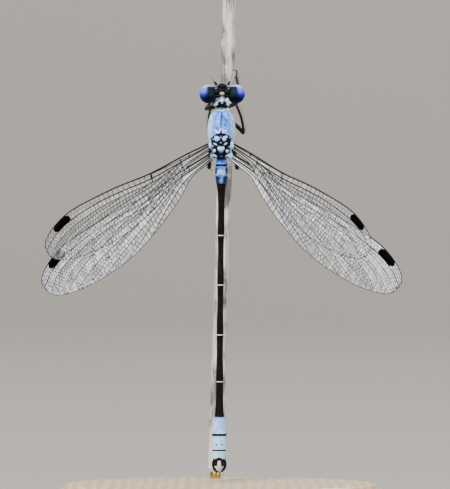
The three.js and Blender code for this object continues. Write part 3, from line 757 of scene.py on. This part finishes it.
def clasper(label, side):
    """An upper clasper: a hook with two teeth inside and a row of small spines outside."""
    clasp = Soup()

    def at(lateral, along, lift=0.0):
        return place(side * lateral, abdomen_dorsal(along) + 0.25 + lift, along)

    hook = [at(0.42, 41.6), at(0.62, 41.95), at(0.66, 42.3), at(0.58, 42.65, 0.02), at(0.34, 42.95, 0.02)]
    hook.append(at(0.08 + 0.02 * side, 43.04, 0.03 * side))
    path = limb(clasp, hook, 40, [0, 0.15, 0.5, 0.8, 1], [0.2, 0.19, 0.15, 0.12, 0.04], 14)
    limb(clasp, [at(0.6, 42.25), at(0.4, 42.35), at(0.28, 42.42)], 8, [0, 1], [0.13, 0.02], 8)
    limb(clasp, [at(0.56, 42.6), at(0.4, 42.68), at(0.3, 42.72)], 8, [0, 1], [0.09, 0.02], 8)
    for base in path[8:33:4]:
        tube(clasp, [base, base + [side * 0.16, 0.0, -0.07]], [0.025, 0.004], 5)
    make(f"clasper_{label}", clasp, DARK, [f"cercus_{label}"], BLACK)


def lower_clasper(label, side):
    lower = Soup()
    path = [
        place(side * lateral, abdomen_dorsal(along) - drop, along)
        for lateral, along, drop in ((0.34, 41.6, 0.3), (0.36, 42.05, 0.34), (0.3, 42.45, 0.34))
    ]
    limb(lower, path, 14, [0, 0.4, 1], [0.2, 0.19, 0.06], 12)
    make(f"lower_clasper_{label}", lower, DARK, [f"paraproct_{label}"], BLACK * 1.3)


for label, side, spread in (("left", -1, 0.85), ("right", 1, 0.42)):
    feeler(label, side, spread)
    clasper(label, side)
    lower_clasper(label, side)

# legs and the stalk they grip; joints are hip, trochanter, knee, ankle and claw as (lateral, depth, along)
LEGS = {
    "fore_left": [
        (-0.46, 1.8, 2.35), (-0.75, 2.2, 2.45), (-1.72, 3.6, 2.6), (-0.78, 4.7, 1.2), (-0.74, 5.4, 0.1),
    ],
    "fore_right": [
        (0.46, 1.8, 2.35), (0.8, 2.2, 2.4), (2.05, 3.5, 1.55), (1.52, 4.15, -1.0), (1.6, 4.35, -1.65),
    ],
    "mid_left": [
        (-0.62, 2.5, 3.9), (-0.9, 2.85, 4.0), (-1.3, 3.6, 5.6), (-1.3, 4.75, 2.5), (-0.76, 5.4, 1.7),
    ],
    "mid_right": [
        (0.62, 2.5, 3.9), (0.95, 2.85, 4.0), (2.38, 3.75, 5.25), (1.6, 4.3, 2.15), (1.78, 5.2, 1.3),
    ],
    "hind_left": [
        (-0.62, 2.5, 5.25), (-0.85, 2.9, 5.6), (-1.38, 3.15, 9.15), (-0.98, 4.8, 6.2), (-0.76, 5.4, 5.3),
    ],
    "hind_right": [
        (0.62, 2.5, 5.25), (0.85, 2.9, 5.6), (1.75, 3.15, 9.2), (1.1, 4.0, 6.1), (0.95, 4.05, 5.1),
    ],
}
LEG_SEED = 11
LEG_BOW = 0.1
STEM_LOW, STEM_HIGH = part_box("stem_perch")
stem_low, stem_high = STEM_LOW.z / MM, STEM_HIGH.z / MM
STEM_SHIFT, STEM_LEAN, STEM_DEPTH = 0.73, 0.0303, 5.3
STEM_RADIUS = 0.85
STEM_JOINT = HEAD_TOP + 4.6


def stalk_centre(z):
    return np.stack(np.broadcast_arrays(STEM_SHIFT - STEM_LEAN * (HEAD_TOP - z), STEM_DEPTH, z), -1)


def stalk_size(z):
    """Radius of the stalk at height z, with the swelling at its joint and before its grooves."""
    taper = (1 + 0.05 * np.sin(z * 0.21)) * (1 - 0.0012 * (z - stem_low))
    return STEM_RADIUS * taper + 0.1 * bump(z, STEM_JOINT, 0.9)


def claws(leg, claw):
    """Two claws that reach in and catch the stalk's surface."""
    towards = stalk_centre(claw[2]) - claw
    grip = np.linalg.norm(towards) - 0.95 * stalk_size(claw[2])
    inward = unit(towards)
    apart = np.cross(inward, [0, 0, 1])
    for hook in (-1, 1):
        bend = claw + 0.5 * grip * inward + 0.09 * hook * apart + [0, 0, 0.12]
        catch = claw + grip * inward + 0.12 * hook * apart + [0, 0, 0.05]
        limb(leg, [claw, bend, catch], 9, [0, 1], [0.055, 0.015], 6)


def spines(leg, path, start, reach, rng):
    """Two rows of spines along the path, from its point number start on."""
    for k in range(start, len(path) - 1):
        way = unit(path[k] - path[k - 1])
        for hand in (-1, 1):
            out = unit(np.cross(way, [0.3, 1.0, 0.2]) * hand)
            out = unit(out + way * 0.55 + [0, 0.25, 0])
            base = path[k] + out * 0.06
            length = reach * rng.uniform(0.75, 1.1)
            tip = base + out * length + way * 0.05
            tube(leg, [base, base + out * length * 0.5, tip], [0.022, 0.015, 0.004], 4)


def build_leg(label, joints, rng):
    """Coxa, thigh, shin and foot with its claws, and the spines."""
    hip, trochanter, knee, ankle, claw = (place(lateral, -depth, along) for lateral, depth, along in joints)
    bow = np.array([LEG_BOW if label.endswith("right") else -LEG_BOW, 0, 0])
    leg = Soup()
    inner = hip + unit(hip - trochanter) * 0.5
    tube(leg, curve([inner, hip, trochanter], 8), [0.3, 0.33, 0.34, 0.33, 0.3, 0.26, 0.22, 0.18], 16)
    ellipsoid(leg, trochanter, (0.2, 0.2, 0.2), 14, 10)
    thigh_bend = (trochanter + knee) / 2 + bow
    femur = limb(leg, [trochanter, thigh_bend, knee], 20, [0, 0.3, 0.85, 1], [0.18, 0.24, 0.2, 0.21], 14)
    ellipsoid(leg, knee, (0.22, 0.22, 0.22), 14, 10)
    thigh_way, shin_way = unit(knee - trochanter), unit(ankle - knee)
    out = unit(shin_way - thigh_way * np.dot(thigh_way, shin_way))
    shin_path = [knee, knee + out * 0.3, (knee + out * 0.5 + ankle) / 2 + bow, ankle]
    shin = limb(leg, shin_path, 24, [0, 0.15, 0.9, 1], [0.18, 0.15, 0.13, 0.14], 12)
    foot = curve([ankle, (ankle + claw) / 2 + bow * 0.4, claw], 16)
    tube(leg, foot, 0.085 + 0.02 * np.cos(np.linspace(0, 6 * math.pi, 16)), 10)
    claws(leg, claw)
    spines(leg, femur, 5, 0.3, rng)
    spines(leg, shin, 3, 0.52, rng)
    tint = painted("0e0b09", [("2a211c", 0.5 * smooth(0.1, 0.7, grain(leg.array(), 0.5, 2.0)))])
    nodes = [f"{part}_{label}" for part in ("coxa", "femur", "tibia", "tarsus")]
    make(f"leg_{label}", leg, DARK, nodes, tint)


rng = random.Random(LEG_SEED)
for label, joints in LEGS.items():
    build_leg(label, joints, rng)

# wings
FOREWING_LENGTH, HINDWING_LENGTH, OUTLINE_SPAN, FOREWING_CHORD = 25.4, 24.35, 24.8, 0.97
LEAD = np.array([
    [0, 0.36], [3.4, 0.7], [8.6, 1.05], [13, 1.74], [16.3, 2.08], [19.3, 2.26], [21.2, 2.12],
    [23.0, 1.62], [24.2, 0.96], [24.62, 0.45], [24.76, 0.1],
])
TRAIL = np.array([
    [0, -0.36], [2.6, -0.38], [3.7, -0.6], [5.2, -1.3], [7.8, -2.2], [10.9, -2.98], [13.5, -3.42],
    [16.5, -3.5], [20, -3.13], [22.5, -2.45], [23.9, -1.8], [24.45, -1.25], [24.7, -0.75], [24.76, 0.0],
])
# longitudinal veins from the leading edge backwards: name, radius at root and tip, path
VEINS = {
    "subcosta": (0.05, 0.045, [[0, 0.2], [3.4, 0.45], [8.6, 0.98]]),
    "radius": (0.075, 0.05, [
        [0, 0.04], [3.4, 0.22], [8.6, 0.46], [13, 1.08], [16.3, 1.4],
        [20.4, 1.34], [22.9, 0.78], [24.55, -0.1],
    ]),
    "radial_1": (0.055, 0.035, [
        [4.3, 0.3], [5.5, 0.17], [8.6, 0.06], [13, 0.54], [16.3, 0.8],
        [20.4, 0.62], [22.9, -0.05], [24.4, -0.95],
    ]),
    "inter_1": (0.034, 0.026, [[13.5, 0.5], [15, 0.42], [18, 0.3], [21, -0.08], [23.9, -1.45]]),
    "radial_2": (0.042, 0.03, [[9.6, 0.1], [11, 0.02], [14, 0.12], [17, 0.04], [20.5, -0.42], [23.4, -1.75]]),
    "inter_2": (0.045, 0.03, [[6.6, 0.1], [9.5, -0.3], [13, -0.3], [17, -0.5], [20.4, -1.15], [22.6, -2.2]]),
    "radial_3": (0.05, 0.03, [
        [5.9, 0.15], [7.2, -0.3], [9.5, -0.75], [13, -0.95], [17, -1.38], [20.2, -2.1], [21.7, -2.6],
    ]),
    "supple": (0.034, 0.026, [[11.5, -0.95], [14, -1.4], [17, -2.05], [19.9, -2.95]]),
    "medial": (0.05, 0.032, [
        [4.35, 0.1], [6.0, -0.3], [9.5, -1.22], [13, -1.95], [16.0, -2.72], [18.1, -3.3],
    ]),
    "medial_p": (0.044, 0.03, [[6.0, -0.55], [8.5, -1.42], [11, -2.22], [14.0, -3.3]]),
    "cubital": (0.065, 0.036, [
        [0, -0.16], [2.6, -0.18], [4.3, -0.35], [6.0, -0.85], [8.6, -1.9], [10.7, -2.8],
    ]),
}
# the first two cross veins, the nodus, the arculus and the slanting side of the four-sided cell:
# where each starts and ends, and its radius
CROSSES = [
    ("costa", 2.95, "radius", 3.05, 0.05), ("costa", 4.3, "radius", 4.32, 0.05),
    ("costa", 8.55, "radial_1", 8.85, 0.085), ("radius", 4.25, "cubital", 4.38, 0.055),
    ("cubital", 5.35, "medial", 6.15, 0.045),
]
TIP = 24.76
ROUND_FROM, ROUND_LONG = 24.0, 0.76
CAMBER = 0.12
# by the vein in front of a lane: how much longer its cells are, and where its first cross vein may stand
STRETCHED = {"costa": 1.5, "subcosta": 1.6, "radius": 1.3}
NO_CROSS_BEFORE = {"costa": 8.6, "subcosta": 9.0, "radius": 5.2, "cubital": 3.6}
# radii of the net where a cell is CELL wide; the forewing's are FOREWING_NET times as thick
WALL, LINE = 0.037, 0.035
CELL = 0.5
FOREWING_NET = 0.78
NET_SIDES = 5
# how far the lines of the net are drawn up and down to its walls, as a share of a cell
PULL = 0.14
# how far the net reaches before its first cross vein, and where a lane gets too short or narrow for it
MARGIN = 0.7
SHORT, NARROW, END_ROOM, ROOT_END = 0.1, 0.1, 0.12, 4
# steps of the film along and across a lane
FILM_LONG, FILM_WIDE = 0.08, 0.1
# how many swells and glints a lane's cells choose from, and the steps between the choices
CHOICES, WALL_STEP, ROW_STEP, HALF_SHIFT = 97, 7, 31, 50
# keep a width of nothing from being divided by
GUARD, LEAST_WIDTH = 1e-9, 1e-3
STIGMA_START, STIGMA_END = 20.45, 22.85


def cell_size(x):
    """Width of one cell of the net, which gets finer towards the tip."""
    return np.interp(x, [4, 9, 15, 20, 24], [0.6, 0.55, 0.46, 0.35, 0.29])


def path_of(points):
    dense = curve(points, 14 * len(points))
    keep = np.concatenate([[True], np.diff(dense[:, 0]) > 1e-6])
    return dense[keep]


LEAD_PATH, TRAIL_PATH = path_of(LEAD), path_of(TRAIL)
VEIN_PATHS = {name: path_of(points) for name, (_, _, points) in VEINS.items()}


def lead_at(x):
    return np.interp(x, LEAD_PATH[:, 0], LEAD_PATH[:, 1])


def trail_at(x):
    return np.interp(x, TRAIL_PATH[:, 0], TRAIL_PATH[:, 1])


def height_of(name):
    """Pleats of the wing: veins lie by turns on a crest or in a valley."""
    if name == "trail":
        return 0.0
    order = ["costa", *VEINS]
    return (0.05, -0.06)[order.index(name) % 2]


def vein_y(name, x):
    if name == "costa":
        return lead_at(x)
    if name == "trail":
        return trail_at(x)
    path = VEIN_PATHS[name]
    return np.clip(np.interp(x, path[:, 0], path[:, 1]), trail_at(x), lead_at(x))


def lanes():
    """Stretches over which neighbouring veins face each other: {(upper, lower): [(x0, x1), ...]}."""
    events = sorted({0.0, TIP, *(path[end, 0] for path in VEIN_PATHS.values() for end in (0, -1))})
    out = {}
    for x0, x1 in zip(events, events[1:]):
        middle = (x0 + x1) / 2
        live = [
            name for name, path in VEIN_PATHS.items()
            if path[0, 0] <= middle <= path[-1, 0] and vein_y(name, middle) > trail_at(middle) + 0.01
        ]
        live = ["costa", *sorted(live, key=lambda name: -float(vein_y(name, middle))), "trail"]
        for pair in zip(live, live[1:]):
            runs = out.setdefault(pair, [])
            if runs and abs(runs[-1][1] - x0) < 1e-6:
                runs[-1] = (runs[-1][0], x1)
            else:
                runs.append((x0, x1))
    return out


LANES = lanes()


class Lane:
    """The strip of a wing between two neighbouring veins, with its rows of cells."""

    def __init__(self, wing, upper, lower):
        self.wing, self.upper, self.lower = wing, upper, lower

    def width(self, x):
        return (vein_y(self.upper, x) - vein_y(self.lower, x)) * self.wing.chord

    def rows(self, x):
        return np.maximum(1, (self.width(x) / cell_size(x) + 0.5).astype(int))

    def level(self, x, row, count):
        """Share at which the line between two rows runs; rows keep their width from the upper vein."""
        return np.where(row >= count, 1.0, row * cell_size(x) / np.maximum(self.width(x), LEAST_WIDTH))

    def point(self, x, t, swell=0.0):
        """World point at share t of the way from the upper vein to the lower one."""
        top, low = vein_y(self.upper, x), vein_y(self.lower, x)
        narrow = smooth(0.0, 0.35, (top - low) * self.wing.chord)
        pleat = height_of(self.upper) * (1 - t) + height_of(self.lower) * t
        return self.wing.world(x, top * (1 - t) + low * t, pleat * narrow + swell)

    def crossings(self, x0, x1):
        """Places of the cross veins between x0 and x1."""
        rng = self.wing.rng
        x = max(x0, NO_CROSS_BEFORE.get(self.upper, 0.0)) + 0.5 * rng.uniform(0.3, 0.7)
        marks = []
        while x < x1 - END_ROOM:
            marks.append(x)
            x += cell_size(x) * STRETCHED.get(self.upper, 1.0) * rng.uniform(0.86, 1.12)
        if not marks and x1 - x0 > SHORT and x0 > ROOT_END:
            marks = [(x0 + x1) / 2]
        return np.array(marks)

    def membrane(self, edges, marks, halves):
        """Film between the first and last edge, in which each cell has its own swell and its own painted
        glint, a brightness in its tint.
        """
        rng = self.wing.rng
        swing = 0.03 if self.upper == "costa" else 0.2
        tilts = np.array([rng.uniform(-swing, swing) for _ in range(CHOICES)])
        glints = np.array([rng.random() for _ in range(CHOICES)])
        count = max(4, int((edges[-1] - edges[0]) / FILM_LONG))
        xs = np.linspace(edges[0], edges[-1], count)
        width, here = self.width(xs), self.rows(xs)
        column = np.searchsorted(marks, xs)
        across_cell = (xs - edges[column]) / (edges[column + 1] - edges[column] + GUARD)
        steps = max(3, int(np.max(width) / FILM_WIDE))
        grid = []
        for t in np.linspace(0, 1, steps + 1):
            row = np.minimum((t * width / cell_size(xs)).astype(int), here - 1)
            walls = np.where(row % 2 == 0, column, HALF_SHIFT + np.searchsorted(halves, xs))
            top, low = self.level(xs, row, here), self.level(xs, row + 1, here)
            down_cell = (t - top) / (low - top + GUARD)
            dome = np.sin(math.pi * np.clip(across_cell, 0, 1)) * np.sin(math.pi * np.clip(down_cell, 0, 1))
            pick = (walls * WALL_STEP + row * ROW_STEP) % CHOICES
            grid.append(self.point(xs, t, tilts[pick] * dome * np.minimum(width, 0.5)))
            self.wing.shine.append(glints[pick])
        corners = [row * count + c for row in range(steps) for c in range(count - 1)]
        self.wing.sheet.add(grid, [(i, i + 1, i + count + 1, i + count) for i in corners])

    def walls(self, marks, halves):
        """Walls of the cells, set as bricks, each row shifted by half a cell from the next."""
        for parity, places in enumerate((marks, halves)):
            for x in places:
                size, width = cell_size(x), self.width(x)
                if width < NARROW or x < marks[0] - MARGIN:
                    continue
                n, pull = int(self.rows(x)), PULL * size / width
                thick = WALL * self.wing.net * math.sqrt(size / CELL) if n > 1 else WALL
                for row in range(parity, n, 2):
                    top, low = float(self.level(x, row, n)), float(self.level(x, row + 1, n))
                    shares = np.array([top + pull * (row > 0), (top + low) / 2, low - pull * (row < n - 1)])
                    tube(self.wing.veins, self.point(np.full(3, x), shares), thick, NET_SIDES)

    def lines(self, marks, halves):
        """Lines between the rows, drawn up to the walls above and down to the walls below."""
        stops = sorted([(x, 0) for x in marks] + [(x, 1) for x in halves])
        stops = [stop for stop in stops if stop[0] > marks[0] - MARGIN]
        spots = np.array([x for x, _ in stops])
        counts = self.rows(spots)
        for row in range(1, int(counts.max())):
            line = []
            for k, (x, kind) in enumerate(stops):
                alive = counts[k] > row
                if alive:
                    if not line and k > 0:
                        line.append((spots[k - 1], 1.0))
                    lift = (-1 if kind == (row - 1) % 2 else 1) * PULL * cell_size(x) / self.width(x)
                    line.append((x, float(self.level(x, row, counts[k])) + lift))
                if line and (not alive or k == len(stops) - 1):
                    if not alive:
                        line.append((x, 1.0))
                    self.draw(line)
                    line = []

    def draw(self, line):
        """One line of the net, given as places along the wing and shares across the lane."""
        if len(line) > 2:
            xs, shares = np.array(line).T
            thick = LINE * self.wing.net * np.sqrt(cell_size(xs) / CELL)
            tube(self.wing.veins, self.point(xs, np.clip(shares, 0, 1)), thick, NET_SIDES)


class Wing:
    """A wing in the making: its place in space and the forms of its film, veins and dark cell."""

    def __init__(self, name, side, root, tilt, sweep, is_fore):
        self.rng = random.Random(name)
        self.side = side
        self.origin, self.span_way, self.lead_way, self.across = wing_axes(side, root, tilt, sweep)
        self.stretch = (FOREWING_LENGTH if is_fore else HINDWING_LENGTH) / OUTLINE_SPAN
        self.chord = FOREWING_CHORD if is_fore else 1.0
        self.net = FOREWING_NET if is_fore else 1.0
        self.veins, self.sheet, self.stigma = Soup(), Soup(), Soup()
        self.shine = []
        self.add_net()
        self.add_veins()
        self.add_stigma()

    def world(self, x, y, z):
        """World point of a point of the flat wing, with the wing's camber."""
        x, y, z = arrays(x, y, z)
        camber = CAMBER * np.sin(math.pi * np.clip(x / OUTLINE_SPAN, 0, 1)) * np.cos(y * 0.5)
        on_span = self.origin + (x * self.stretch)[..., None] * self.span_way
        on_chord = on_span + (y * self.chord)[..., None] * self.lead_way
        return on_chord + (z + self.side * camber)[..., None] * self.across

    def add_net(self):
        for (upper, lower), runs in LANES.items():
            lane = Lane(self, upper, lower)
            for x0, x1 in runs:
                marks = lane.crossings(x0, x1)
                edges = np.concatenate([[x0], marks, [x1]])
                halves = (edges[1:] + edges[:-1]) / 2
                lane.membrane(edges, marks, halves)
                if len(marks):
                    lane.walls(marks, halves)
                    lane.lines(marks, halves)

    def add_veins(self):
        """The long veins, the two edges and the few cross veins that are thick."""
        for vein, (thick, thin, _) in VEINS.items():
            xs = VEIN_PATHS[vein][:, 0]
            radii = thick + (thin - thick) * np.linspace(0, 1, len(xs))
            tube(self.veins, self.world(xs, vein_y(vein, xs), height_of(vein)), radii, 7)
        rounding = ROUND_FROM + ROUND_LONG * np.sin(np.linspace(0.1, 1, 14) * math.pi / 2)
        xs = np.concatenate([np.linspace(0, ROUND_FROM, 110), rounding])
        lead_radii = np.interp(xs, [0, 8, 20, 24.7], [0.1, 0.09, 0.07, 0.045])
        trail_radii = np.interp(xs, [0, 5, 24.7], [0.06, 0.04, 0.035])
        tube(self.veins, self.world(xs, lead_at(xs), height_of("costa")), lead_radii, 8)
        tube(self.veins, self.world(xs, trail_at(xs), height_of("trail")), trail_radii, 6)
        for start, x0, end, x1, radius in CROSSES:
            y0, y1 = vein_y(start, x0), vein_y(end, x1)
            tube(self.veins, self.world([x0, (x0 + x1) / 2, x1], [y0, (y0 + y1) / 2, y1], 0.0), radius, 6)

    def add_stigma(self):
        """The dark cell near the tip, thick on both faces, with slanting and blunt ends."""
        middle = np.linspace(STIGMA_START, STIGMA_END, 18)
        top = np.stack([middle + 0.22, lead_at(middle + 0.22) - 0.02], 1)
        low = np.stack([middle - 0.12, vein_y("radius", middle - 0.12) + 0.02], 1)
        blunt = 0.32 * np.abs(np.linspace(-1, 1, len(middle)))[:, None] ** 7
        outline = np.vstack([top * (1 - blunt) + low * blunt, (low * (1 - blunt) + top * blunt)[::-1]])
        centre = outline.mean(0)
        inside = centre + (outline - centre) * 0.86
        n = len(outline)
        flat = np.vstack([outline, inside, outline, inside])
        heights = np.repeat([0.045, 0.1, -0.045, -0.1], n)
        faces = []
        for i in range(n):
            j = (i + 1) % n
            faces.append((i, j, n + j, n + i))
            faces.append((2 * n + j, 2 * n + i, 3 * n + i, 3 * n + j))
            faces.append((i, 2 * n + i, 2 * n + j, j))
        faces += [tuple(range(n, 2 * n)), tuple(range(3 * n, 4 * n))[::-1]]
        self.stigma.add(self.world(flat[:, 0], flat[:, 1], heights), faces)


def film(name, alpha):
    """Clear membrane with a faint ripple, and a painted glint, a brightness of its own, in each cell."""
    look = Look(name, 0.2, Alpha=alpha, IOR=1.5, Specular_IOR_Level=0.7)
    clouds = look.ramp(look.noise(700.0, 3.0), (0.3, "dfe6fb"), (0.55, "ffffff"), (0.75, "eaf2f6"))
    look.relief(look.noise(2600.0, 2.0), 0.5, 0.02)
    return look.coloured(look.multiply(clouds, look.tint()))


VEIN = tinted("wing_vein", 0.45, 0.15, 0.2, 0.4)
DARK_CELL = tinted("wing_dark_cell", 0.75, 0.03, 0.25, 0.12)
# the near wing's film is clearer, so that the far wing's front veins show through it
FILMS = {True: film("wing_film_fore", 0.26), False: film("wing_film_hind", 0.7)}

for name, *spec in WINGS:
    wing = Wing(name, *spec)
    # the film's tint is painted light: each cell's own glint makes it brighter, and the few brightest nearly
    # white
    shine = np.concatenate(wing.shine)
    painted_glint_tint = 0.6 + 0.28 * shine + 0.3 * smooth(0.75, 0.92, shine)
    make(f"{name}_film", wing.sheet, FILMS[spec[-1]], [name], painted_glint_tint[:, None])
    make(f"{name}_veins", wing.veins, VEIN, [name], rgb("0d0a08"))
    make(f"{name}_dark_cell", wing.stigma, DARK_CELL, [name], rgb("030203"))


# stalk
def dry_stalk():
    """Long pale fibres under large grey patches."""
    look = Look("dry_stalk", 0.75)
    fibre = look.noise(1.0, 5.0, 0.65, (5200, 5200, 260))
    patch = look.noise(700.0, 4.0, 0.6, (1, 1, 0.45))
    fibres = look.ramp(fibre, (0.3, "8b8688"), (0.48, "c6bfb9"), (0.66, "f3efea"))
    patches = look.ramp(patch, (0.4, "878183"), (0.56, "ffffff"))
    look.relief(fibre, 0.7, 0.03)
    return look.coloured(look.multiply(fibres, patches))


STALK_SIDES = 96
zs = np.linspace(stem_low, stem_high, 420)
turn = turns(STALK_SIDES)
groove = 0.98 - 0.035 * np.cos(2 * turn + 0.6) + 0.018 * np.cos(13 * turn) + 0.012 * np.cos(29 * turn + 1.0)
ring = np.stack([np.cos(turn) * groove, np.sin(turn) * groove, 0 * turn], 1)
stalk = Soup()
stalk.add(stalk_centre(zs)[:, None] + ring * stalk_size(zs)[:, None, None], loft_faces(len(zs), STALK_SIDES))
make("stalk", stalk, dry_stalk(), ["stem_perch"])


# stand
def turned_wood():
    """Pale wood with fine waves of grain and long pores."""
    look = Look("turned_wood", 0.38, Coat_Weight=0.25, Coat_Roughness=0.2)
    waves = look.in_space(
        "ShaderNodeTexWave", (1, 0.25, 1), Scale=260.0, Distortion=5.0, Detail=3.0, Detail_Scale=1.4
    )
    look.relief(look.noise(2400.0, 4.0, stretch=(1, 0.1, 1)), 0.25, 0.05)
    return look.coloured(look.ramp(waves["Fac"], (0.0, "b09675"), (0.6, "bda583"), (1.0, "c6b08e")))


def brushed_brass():
    look = Look("brushed_brass", 0.28, Metallic=1.0)
    streaks = look.noise(1.0, 3.0, stretch=(600, 600, 22000))
    return look.coloured(look.ramp(streaks, (0.3, "9a7a3e"), (0.7, "c9a864")))


BASE_RADIUS = 19.0
BASE_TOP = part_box("stand_base")[1].z / MM
# how far each point of the moulding stands back from the rim, and its height
MOULDING = [
    (0.4, 0), (0.1, 0.12), (0, 0.4), (0, 2.3), (0.08, 2.6), (0.5, 3.05), (0.9, 3.3), (1.3, 3.42),
    (1.5, 3.62), (1.7, 3.85), (2.0, 3.97), (2.4, BASE_TOP),
]
profile = [(0, 0), *((BASE_RADIUS - back, z) for back, z in MOULDING), (0, BASE_TOP)]
make("stand_disc", turned(profile, 192, 0.01), turned_wood(), ["stand_base"], soft=False)

ROD_RADIUS, ROD_CHAMFER = 0.6, 0.05
rod_low, rod_high = (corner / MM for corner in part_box("stand_rod"))
middle = (rod_low + rod_high) / 2
levels = [rod_low.z, rod_low.z + ROD_CHAMFER, rod_high.z - ROD_CHAMFER, rod_high.z]
radii = [ROD_RADIUS - ROD_CHAMFER, ROD_RADIUS, ROD_RADIUS, ROD_RADIUS - ROD_CHAMFER]
rod = Soup()
tube(rod, [(middle.x, middle.y, z) for z in levels], radii, 48)
make("stand_pin", rod, brushed_brass(), ["stand_rod"])


# floor, light and camera
def floor_paper():
    """Pale paper that gets lighter with height; the lightening is painted light, not a change in the paper.
    """
    look = Look("floor_paper", 0.9)
    height = look.in_space("ShaderNodeSeparateXYZ")["Z"]
    # painted light: darker at the floor and lighter up the wall
    low, middle, high = (0.235, 0.219, 0.193), (0.272, 0.252, 0.224), (0.3, 0.279, 0.25)
    return look.coloured(look.ramp(height, (0.0, low), (0.25, middle), (1.0, high)))


# a flat disc whose rim bends up into a wall, in metres
FLAT, BEND, WALL_TOP = 1.3, 1.2, 3.0
dish = [(0.0, 0.0), (0.2, 0.0), (0.6, 0.0), (FLAT, 0.0)]
for t in np.linspace(0.08, math.pi / 2, 20):
    dish.append((FLAT + BEND * math.sin(t), BEND * (1 - math.cos(t))))
dish.append((FLAT + BEND, WALL_TOP))
paper = turned(dish, 128, 1e-4)
floor = mesh_object("floor", paper.array(), loft_faces(len(dish), 128, False))
floor.data.materials.append(floor_paper())

studio = bpy.data.worlds.new("studio")
bpy.context.scene.world = studio
studio.use_nodes = True
sky = studio.node_tree.nodes["Background"]
sky.inputs["Color"].default_value = (0.95, 0.97, 1.0, 1)
sky.inputs["Strength"].default_value = 1.05


def lamp(name, location, target, size, energy, colour=(1, 1, 1)):
    light = bpy.data.lights.new(name, "AREA")
    light.shape, light.size, light.energy, light.color = "DISK", size, energy, colour
    made = bpy.data.objects.new(name, light)
    bpy.context.scene.collection.objects.link(made)
    made.location = location
    made.rotation_euler = (Vector(target) - Vector(location)).to_track_quat("-Z", "Y").to_euler()


HEART = (0, 0, 0.035)
lamp("key", (-0.9, -1.5, 1.9), HEART, 0.9, 150, (0.99, 0.99, 1.0))
lamp("fill", (1.7, -1.0, 1.0), HEART, 1.2, 26, (0.9, 0.95, 1.0))
lamp("back", (0.5, 1.6, 1.7), HEART, 1.0, 24)

# the photo's size in pixels, and where the body's middle and the front of the head lie in it
PHOTO_WIDE, PHOTO_HIGH = 450, 489
BODY_PX, FRONT_PX = 220.5, 84.5
PX_PER_MM = 9.0
DISTANCE = 600.0
SENSOR = 36.0
camera = bpy.data.cameras.new("camera")
camera.sensor_fit = "AUTO"
camera.sensor_width = SENSOR
camera.lens = SENSOR * DISTANCE / (PHOTO_HIGH / PX_PER_MM)
camera.clip_start, camera.clip_end = 0.01, 20.0
view = bpy.data.objects.new("camera", camera)
bpy.context.scene.collection.objects.link(view)
aim_x = (PHOTO_WIDE / 2 - BODY_PX) / PX_PER_MM
aim_z = HEAD_TOP - (PHOTO_HIGH / 2 - FRONT_PX) / PX_PER_MM
view.location = (aim_x * MM, -DISTANCE * MM, aim_z * MM)
view.rotation_euler = (math.pi / 2, 0, 0)
bpy.context.scene.camera = view
